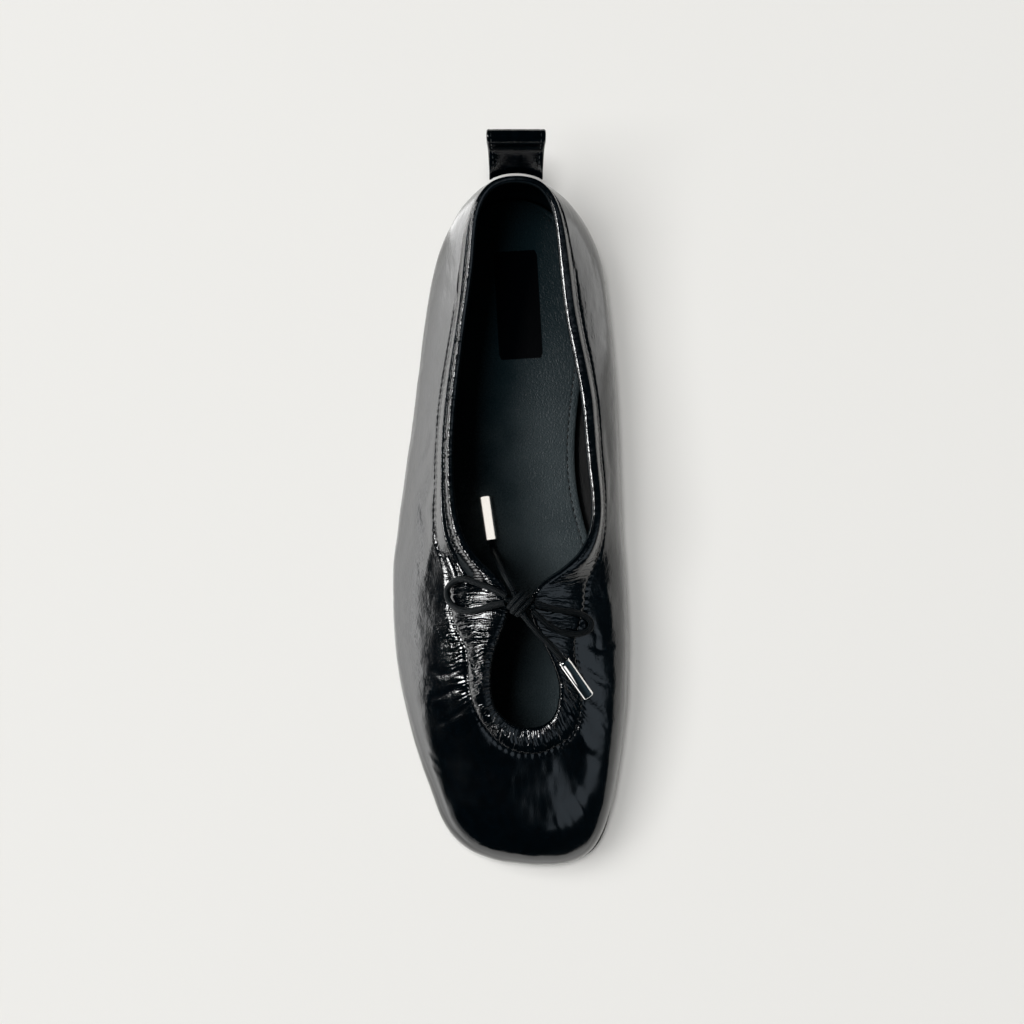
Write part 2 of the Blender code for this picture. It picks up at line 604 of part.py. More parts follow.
def make_aglet(name, ends, made):
    """A metal tube closed at its far end, on the axis between two points."""
    start = np.array(ends[0]) / 1000
    axis = np.array(ends[1]) / 1000 - start
    axis /= np.linalg.norm(axis)
    side = np.cross(axis, [0, 0, 1.0])
    side /= np.linalg.norm(side)
    rise = np.cross(side, axis)
    outer = AGLET_DIAMETER / 2
    bore = AGLET_BORE / 2
    depth = AGLET_LENGTH - AGLET_CAP
    rim = outer - AGLET_CHAMFER
    profile = [(depth, AGLET_END), (depth, bore), (0, bore), (0, rim), (AGLET_CHAMFER, outer),
               (AGLET_LENGTH - AGLET_CHAMFER, outer), (AGLET_LENGTH, rim), (AGLET_LENGTH, AGLET_END)]
    rings = []
    for along, radius in profile:
        ring = []
        for j in range(AGLET_SIDES):
            turn = 2 * math.pi * j / AGLET_SIDES
            ring.append(start + axis * along
                        + (side * math.cos(turn) + rise * math.sin(turn)) * radius)
        rings.append(ring)
    return band(name, rings, made, closed=False, angle=40)


def build():
    clear_scene()
    patent = material("patent_leather", (0.006, 0.010, 0.014), 0.12)
    leather = material("insole_leather", (0.010, 0.018, 0.022), 0.5)
    rubber = material("sole_rubber", (0.012, 0.012, 0.013), 0.6)
    cord = material("black_cord", (0.012, 0.015, 0.018), 0.6)
    steel = material("polished_metal", (0.82, 0.80, 0.78), 0.12, 1.0)
    make_upper(patent)
    make_outsole(rubber)
    make_insole(leather)
    make_heel_block(rubber)
    make_pull_tab(patent)
    make_knot(cord)
    make_cord("bow_loop_lateral", LOOP_LATERAL, cord)
    make_cord("bow_loop_medial", LOOP_MEDIAL, cord)
    make_cord("bow_tail_upper", TAIL_UPPER, cord)
    make_cord("bow_tail_lower", TAIL_LOWER, cord)
    make_aglet("aglet_upper", AGLET_UPPER, steel)
    make_aglet("aglet_lower", AGLET_LOWER, steel)


build()
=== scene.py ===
import math
from collections import namedtuple

import bpy
import numpy as np
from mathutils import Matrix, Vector


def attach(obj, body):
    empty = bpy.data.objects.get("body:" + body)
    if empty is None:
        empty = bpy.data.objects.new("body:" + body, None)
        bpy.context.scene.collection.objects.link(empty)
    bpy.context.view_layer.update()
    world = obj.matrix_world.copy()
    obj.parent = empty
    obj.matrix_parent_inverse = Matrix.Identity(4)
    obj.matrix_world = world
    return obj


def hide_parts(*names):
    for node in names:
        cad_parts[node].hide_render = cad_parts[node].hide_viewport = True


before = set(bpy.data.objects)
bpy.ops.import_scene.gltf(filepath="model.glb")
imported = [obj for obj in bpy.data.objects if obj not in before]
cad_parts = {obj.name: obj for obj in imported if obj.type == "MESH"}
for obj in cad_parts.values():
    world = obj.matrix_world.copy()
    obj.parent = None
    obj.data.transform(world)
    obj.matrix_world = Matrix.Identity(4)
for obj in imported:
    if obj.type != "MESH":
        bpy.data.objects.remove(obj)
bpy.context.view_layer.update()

# Dressing of a right ballet flat: crinkled black patent leather, a pleated drawstring topline
# round a keyhole cut-out, a small cord bow with metal ends, a dark grained sock, a pull tab.
# Metres. X is the inner side of the foot, the toe is at -Y, Z is up.

# Camera, at the photograph's angle: almost straight down, a little from the toe
cameraSizes = {"place": (-0.00145, -0.1861, 1.0958), "target": (-0.00145, -0.0902, 0.0),
               "lens": 103.9, "sensor": 36.0, "near": 0.01}


def addObject(name, data):
    made = bpy.data.objects.new(name, data)
    bpy.context.scene.collection.objects.link(made)
    return made


def addCamera():
    lens = bpy.data.cameras.new("photoCamera")
    lens.lens = cameraSizes["lens"]
    lens.sensor_width = cameraSizes["sensor"]
    lens.clip_start = cameraSizes["near"]
    camera = addObject("photoCamera", lens)
    camera.location = cameraSizes["place"]
    look = Vector(cameraSizes["target"]) - Vector(cameraSizes["place"])
    camera.rotation_mode = "QUATERNION"
    camera.rotation_quaternion = look.to_track_quat("-Z", "Y")
    bpy.context.scene.camera = camera


addCamera()
print("camera placed")


# A Wire is one output socket, and arithmetic on it adds Math nodes to its graph
class Wire:
    def __init__(self, graph, socket):
        self.graph = graph
        self.socket = socket

    def join(self, kind, first, second=0.0):
        return self.graph.add("ShaderNodeMath", {"operation": kind}, {0: first, 1: second})

    def __add__(self, other):
        return self.join("ADD", self, other)

    def __radd__(self, other):
        return self.join("ADD", other, self)

    def __sub__(self, other):
        return self.join("SUBTRACT", self, other)

    def __rsub__(self, other):
        return self.join("SUBTRACT", other, self)

    def __mul__(self, other):
        return self.join("MULTIPLY", self, other)

    def __rmul__(self, other):
        return self.join("MULTIPLY", other, self)

    def sine(self):
        return self.join("SINE", self)

    def size(self):
        return self.join("ABSOLUTE", self)

    def between(self, low, high):  # 0 below low, 1 above high, eased
        return self.graph.add("ShaderNodeMapRange", {"interpolation_type": "SMOOTHSTEP"},
                              {"Value": self, "From Min": low, "From Max": high})


class Graph:
    def __init__(self, tree):
        self.tree = tree

    def add(self, kind, settings=None, values=None, out=0):
        made = self.tree.nodes.new(kind)
        for name, value in (settings or {}).items():
            setattr(made, name, value)
        for key, value in (values or {}).items():
            if isinstance(value, Wire):
                self.tree.links.new(value.socket, made.inputs[key])
            else:
                made.inputs[key].default_value = value
        return Wire(self, made.outputs[out])

    def splitXyz(self, vector):
        parts = self.add("ShaderNodeSeparateXYZ", {}, {0: vector})
        outputs = parts.socket.node.outputs
        return [Wire(self, outputs[i]) for i in range(3)]

    def noise(self, place, size, detail=2.0, stretch=None):
        if stretch:
            place = self.add("ShaderNodeMapping", {}, {"Vector": place, "Scale": stretch})
        return self.add("ShaderNodeTexNoise", {}, {"Vector": place, "Scale": 1 / size, "Detail": detail})

    def blendColour(self, share, first, second):
        node = self.tree.nodes.new("ShaderNodeMix")
        node.data_type = "RGBA"
        self.tree.links.new(share.socket, node.inputs[0])
        for socket, colour in ((node.inputs[6], first), (node.inputs[7], second)):
            socket.default_value = (*colour, 1.0)
        return Wire(self, node.outputs[2])

    def bump(self, height, depth):
        return self.add("ShaderNodeBump", {}, {"Strength": 1.0, "Distance": depth,
                                               "Height": height})


def startMaterial(name, fixed):
    made = bpy.data.materials.new(name)
    made.use_nodes = True
    graph = Graph(made.node_tree)
    shader = made.node_tree.nodes["Principled BSDF"]
    for socket, value in fixed.items():
        shader.inputs[socket].default_value = value
    place = graph.add("ShaderNodeTexCoord", {}, {}, out=3)
    return made, graph, shader, place


def feed(graph, shader, **links):
    for name, wire in links.items():
        graph.tree.links.new(wire.socket, shader.inputs[name.replace("_", " ")])


def plainFinish(name, fixed, noises, colours, rough, depth):
    # The tone follows the first noise, gloss and bump the last
    made, graph, shader, place = startMaterial(name, fixed)
    wires = [graph.noise(place, *noise) for noise in noises]
    feed(graph, shader, Base_Color=graph.blendColour(wires[0], *colours),
         Roughness=wires[-1] * rough[0] + rough[1], Normal=graph.bump(wires[-1], depth))
    return made


# Patent leather: sizes of its bump's layers, and where along Y it calms down towards the toe
patentSizes = {"fold": 0.0075, "crinkle": 0.0022, "hair": 0.0009, "grain": 0.00045,
               "foldDepth": 0.00016, "crinkleDepth": 0.00010, "hairDepth": 0.000090,
               "grainDepth": 0.000034, "toeCalm": (-0.186, -0.160), "calm": 0.12}


def patentLeather():
    s = patentSizes
    made, graph, shader, place = startMaterial("patentLeather", {
        "IOR": 1.62, "Coat Weight": 0.0, "Specular IOR Level": 0.5})
    fold = graph.noise(place, s["fold"], 1.5)
    crinkle = graph.noise(place, s["crinkle"], 3.0, (1.0, 0.55, 1.0))
    hair = (graph.noise(place, s["hair"], 2.0, (1.0, 0.35, 0.6)) - 0.5).size()
    grain = graph.noise(place, s["grain"], 1.0)
    x, y, z = graph.splitXyz(place)
    worn = y.between(*s["toeCalm"]) * (1 - s["calm"]) + s["calm"]
    height = (fold * (worn * 0.7 + 0.3) * (s["foldDepth"] / s["crinkleDepth"])
              + worn * (crinkle + hair * (s["hairDepth"] / s["crinkleDepth"])
                        + grain * (s["grainDepth"] / s["crinkleDepth"])))
    tone = graph.blendColour(crinkle.between(0.3, 0.7), (0.0001, 0.0011, 0.0021),
                             (0.0004, 0.0024, 0.0042))
    feed(graph, shader, Base_Color=tone, Roughness=fold.between(0.3, 0.75) * 0.06 + 0.11,
         Normal=graph.bump(height, s["crinkleDepth"]))
    return made


# Sock: paler in random patches and pores, with painted light towards the inner side and painted shade over
# the heel end, fading out in front of it
# front: the Y span where the painted shade at the heel end fades out. inner: the X span where the painted
# light on the inner side comes in
sockSizes = {"grain": 0.0011, "pore": 0.0004, "patch": 0.03, "depth": 0.00012,
             "front": (-0.075, -0.012), "inner": (-0.012, 0.028)}


def sockLeather():
    s = sockSizes
    made, graph, shader, place = startMaterial("sockLeather", {"IOR": 1.33})
    cells = graph.add("ShaderNodeTexVoronoi", {"feature": "DISTANCE_TO_EDGE"},
                      {"Vector": place, "Scale": 1 / s["grain"]})
    pores = graph.noise(place, s["pore"], 2.0)
    patch = graph.noise(place, s["patch"], 2.0)
    height = cells.between(0.0, 0.25) + pores * 0.5
    x, y, z = graph.splitXyz(place)
    # front is 0 over the heel end, where shade is painted, and rises to 1 further forward
    front = 1 - y.between(*s["front"])
    # worn mixes random patches and pores with painted light towards the inner side, all dimmed by the
    # painted heel shade
    worn = (patch.between(0.35, 0.7) * 0.25 + pores.between(0.3, 0.8) * 0.2
            + x.between(*s["inner"]) * 0.55)
    tone = graph.blendColour(worn * (front * 0.9 + 0.1), (0.0040, 0.0150, 0.0200),
                             (0.1000, 0.1250, 0.1340))
    feed(graph, shader, Base_Color=tone, Roughness=pores * 0.15 + 0.42,
         Normal=graph.bump(height, s["depth"]))
    return made


def soleRubber():
    made, graph, shader, place = startMaterial("soleRubber", {"IOR": 1.5})
    pebble = graph.noise(place, 0.0009, 3.0)
    dust = graph.noise(place, 0.018, 3.0)
    tone = graph.blendColour(dust.between(0.35, 0.75), (0.0022, 0.0026, 0.0032),
                             (0.0058, 0.0060, 0.0062))
    feed(graph, shader, Base_Color=tone, Roughness=dust * 0.2 + 0.42,
         Normal=graph.bump(pebble, 0.00010))
    return made


liftPitch = 0.0028  # of the heel's layers


def heelLayers():
    made, graph, shader, place = startMaterial("heelLayers", {"IOR": 1.5})
    x, y, z = graph.splitXyz(place)
    lift = (z * (2 * math.pi / liftPitch)).sine().between(-1.0, -0.82)
    grain = graph.noise(place, 0.0007, 3.0, (1.0, 1.0, 3.0))
    tone = graph.blendColour(grain, (0.005, 0.0052, 0.0056), (0.012, 0.0118, 0.0115))
    feed(graph, shader, Base_Color=tone, Roughness=grain * 0.2 + 0.32,
         Normal=graph.bump(lift * 2.0 + grain * 0.4, 0.00010))
    return made


cordLook = {"strand": 0.0011, "turns": 5.0, "depth": 0.00010}


def cordTextile():
    s = cordLook
    made, graph, shader, place = startMaterial("cordTextile", {
        "IOR": 1.4, "Specular IOR Level": 0.3, "Sheen Weight": 0.02, "Sheen Roughness": 0.35,
        "Sheen Tint": (0.62, 0.78, 0.86, 1.0)})
    route = graph.add("ShaderNodeUVMap", {"uv_map": "surface"}, {})
    along, around, unused = graph.splitXyz(route)
    across = around * (2 * math.pi * s["turns"])
    run = along * (2 * math.pi / s["strand"])
    rightHand = (run + across).sine()
    leftHand = (run - across).sine()
    braid = rightHand * leftHand
    fibre = graph.noise(place, 0.0004, 2.0)
    tone = graph.blendColour(braid.between(-0.8, 0.9), (0.0002, 0.0012, 0.0022),
                             (0.0016, 0.0066, 0.0098))
    feed(graph, shader, Base_Color=tone, Roughness=fibre * 0.2 + 0.48,
         Normal=graph.bump(braid + fibre * 0.6, s["depth"]))
    return made


# Metal ends: duller low down in the shoe, where the leather round them shows softly
metalDull = {"heights": (0.02, 0.035), "rough": 0.16}


def polishedMetal():
    made, graph, shader, place = startMaterial("polishedMetal", {"Metallic": 1.0})
    haze = graph.noise(place, 0.003, 3.0)
    scratch = graph.noise(place, 0.0004, 2.0, (1.0, 0.1, 1.0))
    tone = graph.blendColour(haze, (0.90, 0.885, 0.86), (0.96, 0.95, 0.935))
    x, y, z = graph.splitXyz(place)
    feed(graph, shader, Base_Color=tone,
         Roughness=haze * 0.05 + 0.035 + (1 - z.between(*metalDull["heights"])) * metalDull["rough"],
         Normal=graph.bump(scratch, 0.000003))
    return made


def paleFloor():
    made, graph, shader, place = startMaterial("paleFloor", {"Specular IOR Level": 0.0})
    mottle = graph.noise(place, 0.25, 3.0)
    tone = graph.blendColour(mottle, (0.832, 0.824, 0.797), (0.842, 0.834, 0.808))
    feed(graph, shader, Base_Color=tone, Roughness=mottle * 0.1 + 0.85)
    return made


finishes = {
    "patent": patentLeather(), "sock": sockLeather(), "rubber": soleRubber(),
    "heel": heelLayers(), "cord": cordTextile(), "metal": polishedMetal(), "floor": paleFloor(),
    "lining": plainFinish("liningCloth", {"IOR": 1.3}, [(0.012, 2.0), (0.0006, 2.0)],
                          [(0.0018, 0.0060, 0.0085), (0.0040, 0.0105, 0.0140)], (0.2, 0.50), 0.00008),
    "thread": plainFinish("blackThread", {"IOR": 1.5}, [(0.0003, 2.0)],
                          [(0.0006, 0.0014, 0.0022), (0.004, 0.006, 0.008)], (0.2, 0.4), 0.00005),
    "label": plainFinish("labelPatch", {"IOR": 1.2}, [(0.0008, 2.0)],
                         [(0.0004, 0.0008, 0.0016), (0.0010, 0.0016, 0.0026)], (0.12, 0.40), 0.00005),
}
print("finishes made")

# Sizes of the last and of the pieces on it, as the solids have them
last = {
    "length": 0.250, "heelBack": 0.030, "ballWidth": 0.0857, "heelWidth": 0.0650,
    "bellyRise": 0.0142, "featherTuck": 0.0090, "wall": 0.0016, "casing": 0.0095,
    "rim": 0.0030, "casingRaise": 0.0008, "sole": 0.0035, "soleLip": 0.0022,
    "toeSpring": 0.0070, "heelHeight": 0.0085, "heelBlock": 0.0510, "heelInset": 0.0008,
    "heelTaper": 0.0012, "insole": 0.0026, "insoleGap": 0.0005, "insoleNotch": 0.0048,
    "gap": 0.0003, "archRunIn": 0.015, "archEnd": 0.53, "flatEnd": 0.715, "springPower": 1.9,
}
topHeights = {"back": 0.0508, "waist": 0.0430, "throat": 0.0463, "vamp": 0.0330}

# One row for each section round the shoe, from the back along the outer side to the toe and
# home along the inner side. along, side: widest point. belly, tuck, lip, notch: shares of
# their sizes. topAlong, topSide, topRise: the topline. full, reach, slope: the wall's curve.
# casing: the drawstring tunnel's width. pleat: how deep its gathers are. tail: how far they
# run out into the wall, as a share of tailReach. The collar's rows differ a little from the
# solid's, to follow the photograph's reflections.
Section = namedtuple("Section", "along side belly tuck lip notch topAlong topSide topOf topRise"
                     " full reach slope casing pleat tail")
sections = [Section(*row) for row in (
    (0.0, 0.011, 0.6, 0.36, 0.15, 0.0, 0.016, 0.031, "back", 1.0, 0.4, 0.33, 82, 0.6, 0.0, 0.0),
    (0.015, -0.206, 0.6, 0.36, 0.15, 0.0, 0.026, -0.142, "back", 0.998, 0.4, 0.33, 80, 0.6, 0.0, 0.0),
    (0.058, -0.348, 0.6, 0.36, 0.15, 0.0, 0.066, -0.234, "back", 0.974, 0.38, 0.33, 70, 0.62, 0.15, 0.0),
    (0.115, -0.445, 0.6, 0.36, 0.15, 0.0, 0.124, -0.26, "back", 0.941, 0.36, 0.33, 62, 0.7, 0.5, 0.0),
    (0.184, -0.496, 0.62, 0.38, 0.15, 0.0, 0.188, -0.286, "waist", 1.07, 0.34, 0.33, 58, 0.52, 0.8, 0.0),
    (0.28, -0.501, 0.72, 0.42, 0.15, 0.0, 0.284, -0.309, "waist", 1.019, 0.3, 0.33, 55, 0.62, 0.9, 0.0),
    (0.38, -0.494, 0.82, 0.44, 0.15, 0.0, 0.38, -0.309, "waist", 0.995, 0.26, 0.33, 52, 0.72, 1.0, 0.0),
    (0.472, -0.499, 0.92, 0.4, 0.15, 0.0, 0.468, -0.286, "waist", 1.0, 0.24, 0.35, 48, 0.82, 1.0, 0.1),
    (0.536, -0.513, 0.97, 0.34, 0.15, 0.0, 0.541, -0.229, "waist", 1.03, 0.24, 0.4, 36, 1.15, 1.0, 0.5),
    (0.576, -0.522, 1.0, 0.31, 0.15, 0.0, 0.581, -0.134, "throat", 0.983, 0.24, 0.44, 20, 1.55, 1.0, 0.5),
    (0.606, -0.524, 1.0, 0.31, 0.15, 0.0, 0.604, -0.065, "throat", 0.998, 0.24, 0.48, 14, 2.1, 1.0, 0.4),
    (0.628, -0.524, 1.0, 0.31, 0.15, 0.0, 0.622, -0.046, "throat", 1.002, 0.24, 0.49, 12, 2.2, 1.0, 0.5),
    (0.652, -0.52, 1.0, 0.3, 0.15, 0.0, 0.645, -0.057, "throat", 0.991, 0.26, 0.49, 12, 2.0, 1.1, 0.8),
    (0.706, -0.504, 0.96, 0.28, 0.15, 0.0, 0.682, -0.096, "throat", 0.942, 0.32, 0.47, 13, 1.12, 1.2, 1.0),
    (0.772, -0.469, 0.84, 0.25, 0.15, 0.0, 0.73, -0.123, "throat", 0.864, 0.42, 0.45, 13, 0.76, 1.2, 1.0),
    (0.836, -0.42, 0.66, 0.22, 0.15, 0.0, 0.77, -0.111, "vamp", 1.118, 0.54, 0.45, 12, 0.6, 1.1, 0.6),
    (0.9, -0.355, 0.46, 0.2, 0.15, 0.0, 0.787, -0.08, "vamp", 1.052, 0.68, 0.44, 12, 0.64, 1.0, 0.2),
    (0.961, -0.261, 0.3, 0.2, 0.2, 0.0, 0.801, -0.035, "vamp", 1.012, 0.8, 0.46, 11, 0.72, 0.9, 0.1),
    (0.99, -0.123, 0.25, 0.2, 0.2, 0.0, 0.808, 0.014, "vamp", 1.0, 0.92, 0.47, 10, 0.79, 0.8, 0.1),
    (1.0, 0.047, 0.25, 0.2, 0.25, 0.0, 0.809, 0.061, "vamp", 0.997, 0.95, 0.47, 10, 0.84, 0.75, 0.1),
    (0.999, 0.193, 0.25, 0.2, 0.6, 0.0, 0.807, 0.105, "vamp", 1.003, 0.95, 0.47, 10, 0.84, 0.75, 0.2),
    (0.981, 0.315, 0.28, 0.2, 1.0, 0.0, 0.798, 0.151, "vamp", 1.024, 0.9, 0.46, 12, 0.86, 0.75, 0.3),
    (0.937, 0.387, 0.4, 0.2, 1.0, 0.0, 0.782, 0.182, "vamp", 1.067, 0.92, 0.44, 15, 1.02, 0.75, 0.4),
    (0.872, 0.429, 0.58, 0.22, 0.7, 0.0, 0.754, 0.198, "vamp", 1.139, 0.92, 0.42, 19, 1.14, 0.75, 0.4),
    (0.792, 0.46, 0.8, 0.26, 0.3, 0.0, 0.722, 0.183, "throat", 0.873, 0.88, 0.4, 22, 1.12, 0.75, 0.4),
    (0.72, 0.475, 0.95, 0.31, 0.15, 0.0, 0.686, 0.137, "throat", 0.935, 0.82, 0.4, 22, 1.1, 0.7, 0.3),
    (0.664, 0.477, 1.0, 0.36, 0.15, 0.0, 0.651, 0.088, "throat", 0.985, 0.7, 0.4, 20, 1.7, 0.65, 0.3),
    (0.628, 0.473, 1.02, 0.42, 0.15, 0.1, 0.626, 0.076, "throat", 1.0, 0.63, 0.4, 20, 2.05, 0.6, 0.3),
    (0.6, 0.468, 1.02, 0.48, 0.15, 0.2, 0.608, 0.105, "throat", 0.996, 0.59, 0.4, 22, 1.85, 0.5, 0.3),
    (0.566, 0.461, 1.02, 0.58, 0.15, 0.4, 0.589, 0.181, "throat", 0.985, 0.54, 0.38, 32, 1.55, 0.4, 0.2),
    (0.528, 0.454, 1.0, 0.72, 0.15, 0.6, 0.562, 0.273, "throat", 0.965, 0.52, 0.36, 50, 1.22, 0.32, 0.1),
    (0.472, 0.455, 0.96, 0.9, 0.15, 0.9, 0.51, 0.337, "waist", 1.014, 0.48, 0.34, 54, 0.8, 0.28, 0.0),
    (0.4, 0.471, 0.88, 1.0, 0.15, 1.0, 0.432, 0.338, "waist", 0.998, 0.44, 0.33, 54, 0.73, 0.25, 0.0),
    (0.304, 0.501, 0.76, 0.84, 0.15, 0.7, 0.33, 0.339, "waist", 1.0, 0.4, 0.33, 52, 0.7, 0.25, 0.0),
    (0.204, 0.516, 0.64, 0.55, 0.15, 0.2, 0.222, 0.299, "waist", 1.042, 0.38, 0.33, 52, 0.61, 0.2, 0.0),
    (0.117, 0.475, 0.6, 0.4, 0.15, 0.0, 0.122, 0.262, "back", 0.941, 0.38, 0.33, 56, 0.58, 0.12, 0.0),
    (0.06, 0.378, 0.6, 0.36, 0.15, 0.0, 0.064, 0.231, "back", 0.976, 0.38, 0.33, 64, 0.47, 0.0, 0.0),
    (0.016, 0.209, 0.6, 0.36, 0.15, 0.0, 0.028, 0.154, "back", 0.998, 0.4, 0.33, 80, 0.6, 0.0, 0.0),
)]


def ease(value):
    value = np.clip(value, 0.0, 1.0)
    return value * value * (3 - 2 * value)


def within(value, low, high, soft):
    # 1 between low and high, 0 outside, eased over soft inside each end
    return ease((value - low) / soft) * ease((high - value) / soft)


def metresAlong(points):
    return np.append(0, np.cumsum(np.linalg.norm(np.diff(points, axis=0), axis=1)))


def localWidth(along):
    return last["heelWidth"] + (last["ballWidth"] - last["heelWidth"]) * ease((along - 0.14) / 0.40)


def yAt(along):
    return last["heelBack"] - along * last["length"]


def groundRise(y):
    along = (last["heelBack"] - np.asarray(y, dtype=float)) / last["length"]
    archStart = last["heelBlock"] / last["length"] + last["archRunIn"]
    seat = last["heelHeight"] + last["gap"]
    arch = seat * (1 - ease((along - archStart) / (last["archEnd"] - archStart)))
    past = np.clip((along - last["flatEnd"]) / (1 - last["flatEnd"]), 0, None)
    return arch + last["toeSpring"] * past ** last["springPower"]


def featherHeight(y):
    return groundRise(y) + last["sole"] + last["gap"]


def splineAt(knots, steps, rows, after, bend, wanted):
    row = np.clip(np.searchsorted(knots, wanted, side="right") - 1, 0, len(steps) - 1)
    step = steps[row][:, None]
    b = (wanted - knots[row])[:, None] / step
    a = 1 - b
    return (a * rows[row] + b * rows[after[row]]
            + ((a ** 3 - a) * bend[row] + (b ** 3 - b) * bend[after[row]]) * step ** 2 / 6)


def closedSpline(knots, period, rows, wanted):
    count = len(rows)
    steps = np.append(np.diff(knots), period - knots[-1] + knots[0])
    after = (np.arange(count) + 1) % count
    system = np.zeros((count, count))
    right = np.zeros_like(rows)
    for i in range(count):
        system[i, i - 1] += steps[i - 1]
        system[i, i] += 2 * (steps[i - 1] + steps[i])
        system[i, after[i]] += steps[i]
        right[i] = 6 * ((rows[after[i]] - rows[i]) / steps[i] - (rows[i] - rows[i - 1]) / steps[i - 1])
    bend = np.linalg.solve(system, right)
    return splineAt(knots, steps, rows, after, bend, np.mod(wanted, period))


def openSpline(points, count):
    points = np.array(points, dtype=float)
    chord = metresAlong(points)
    steps = np.diff(chord)
    size = len(points)
    system = np.eye(size)
    right = np.zeros_like(points)
    for i in range(1, size - 1):
        system[i, i - 1:i + 2] = steps[i - 1], 2 * (steps[i - 1] + steps[i]), steps[i]
        right[i] = 6 * ((points[i + 1] - points[i]) / steps[i]
                        - (points[i] - points[i - 1]) / steps[i - 1])
    bend = np.linalg.solve(system, right)
    return splineAt(chord, steps, points, np.arange(1, size), bend, np.linspace(0, chord[-1], count))


def sectionNumbers():
    rows = []
    for row in sections:
        rows.append([
            row.side * localWidth(row.along), yAt(row.along), row.belly * last["bellyRise"],
            row.topSide * localWidth(row.topAlong), yAt(row.topAlong),
            row.topRise * topHeights[row.topOf],
            row.tuck * last["featherTuck"], row.lip * last["soleLip"], row.notch * last["insoleNotch"],
            row.full, row.reach, math.radians(row.slope), row.casing * last["casing"],
            row.pleat, row.tail,
        ])
    return np.array(rows)


sectionRows = sectionNumbers()
leap = np.roll(sectionRows[:, [0, 1, 3, 4]], -1, axis=0) - sectionRows[:, [0, 1, 3, 4]]
chords = np.sqrt((leap ** 2).sum(axis=1))
sectionKnots = np.append(0, np.cumsum(chords[:-1]))
wayRound = chords.sum()


def sectionNumber(places):
    return np.interp(places, np.append(sectionKnots, wayRound), np.arange(len(sections) + 1))


# Section numbers between which something holds, and over how many sections it fades there
spans = {"crowded": (6, 31, 3), "keyhole": (8.8, 29.8, 1.6), "outer": (1.2, 19, 1.6),
         "sewn": (3.7, 35.0, 0.5)}


def placesRound(count, crowd):
    # Places round the shoe, crowd times closer together where the topline is gathered
    fine = np.linspace(0, wayRound, 4001)
    density = 1 + (crowd - 1) * within(sectionNumber(fine), *spans["crowded"])
    total = np.append(0, np.cumsum((density[1:] + density[:-1]) / 2))
    return np.interp(np.arange(count) / count * total[-1], total, fine)


def readSections(places):
    read = closedSpline(sectionKnots, wayRound, sectionRows, places)
    step = wayRound * 1e-4
    run = (closedSpline(sectionKnots, wayRound, sectionRows, places + step)
           - closedSpline(sectionKnots, wayRound, sectionRows, places - step))[:, :2]
    outward = np.column_stack([run[:, 1], -run[:, 0]])
    outward /= np.linalg.norm(outward, axis=1)[:, None]
    middle = read[:, :2].mean(axis=0)
    if ((read[:, :2] - middle) * outward).sum() < 0:
        outward = -outward
    return read, outward


def bezier(points, t):
    t = t[:, None]
    p0, p1, p2, p3 = points
    return (1 - t) ** 3 * p0 + 3 * (1 - t) ** 2 * t * p1 + 3 * (1 - t) * t ** 2 * p2 + t ** 3 * p3


def unit(vectors):
    return vectors / np.linalg.norm(vectors, axis=-1, keepdims=True)


def upperSkin(places, under, body, casingShares):
    # Grid of the upper's outer skin: under columns below the widest line, body columns up to
    # the stitch line, then one for each casing share, 1 at the stitch line and 0 at the rim
    read, outward = readSections(places)
    fine = np.linspace(0, 1, 60)
    columns = under + body + len(casingShares)
    grid = np.zeros((len(places), columns, 3))
    up = np.array([0, 0, 1.0])
    for i, row in enumerate(read):
        bx, by, belly, tx, ty, tz, tuck, lip, notch, full, reach, slope, casing = row[:13]
        out = np.array([outward[i][0], outward[i][1], 0.0])
        widest = np.array([bx, by, featherHeight(by) + belly])
        feather = np.array([bx, by, 0]) - out * tuck
        feather[2] = featherHeight(feather[1])
        top = np.array([tx, ty, tz])
        inward = top - widest
        rise = inward[2]
        inward[2] = 0
        level = inward / np.linalg.norm(inward)
        span = np.linalg.norm(top - widest)
        lower = [feather, feather + (widest - feather) * [0.5, 0.5, 0.12],
                 widest - up * 0.5 * (widest[2] - feather[2]), widest]
        higher = [widest, widest + up * full * rise,
                  top - (level * math.cos(slope) + up * math.sin(slope)) * reach * span, top]
        grid[i, :under] = bezier(lower, np.arange(under) / under)
        curve = bezier(higher, fine)
        length = metresAlong(curve)
        spots = np.append(np.arange(body) / body * (length[-1] - casing),
                          length[-1] - np.array(casingShares) * casing)
        for axis in range(3):
            grid[i, under:, axis] = np.interp(spots, length, curve[:, axis])
    alongRim = np.roll(grid, -1, axis=0) - np.roll(grid, 1, axis=0)
    normal = np.cross(alongRim, np.gradient(grid, axis=1))
    plan = np.column_stack([outward, np.zeros(len(places))])
    if (normal[:, under // 2] * plan).sum() < 0:
        normal = -normal
    normal = unit(normal)
    turn = ease(np.arange(columns) / (under + 1))[None, :, None]
    normal = unit(normal * turn + plan[:, None, :] * (1 - turn))
    across = unit(np.cross(alongRim[:, -1], normal[:, -1]))
    across *= np.sign(((grid[:, -1] - grid[:, -2]) * across).sum(axis=1))[:, None]
    return grid, normal, across, read


def cloud(points, size, seed):
    # Smooth noise between -1 and 1, its lumps about that size apart
    cells = 24
    lattice = np.random.default_rng(seed).random((cells, cells, cells)) * 2 - 1
    place = points / size
    low = np.floor(place).astype(int)
    part = place - low
    part = part * part * (3 - 2 * part)
    total = np.zeros(points.shape[:-1])
    for corner in range(8):
        pick = [(corner >> axis) & 1 for axis in range(3)]
        weight = np.ones(points.shape[:-1])
        for axis in range(3):
            share = part[..., axis]
            weight = weight * (share if pick[axis] else 1 - share)
        spot = [(low[..., axis] + pick[axis]) % cells for axis in range(3)]
        total += weight * lattice[spot[0], spot[1], spot[2]]
    return total


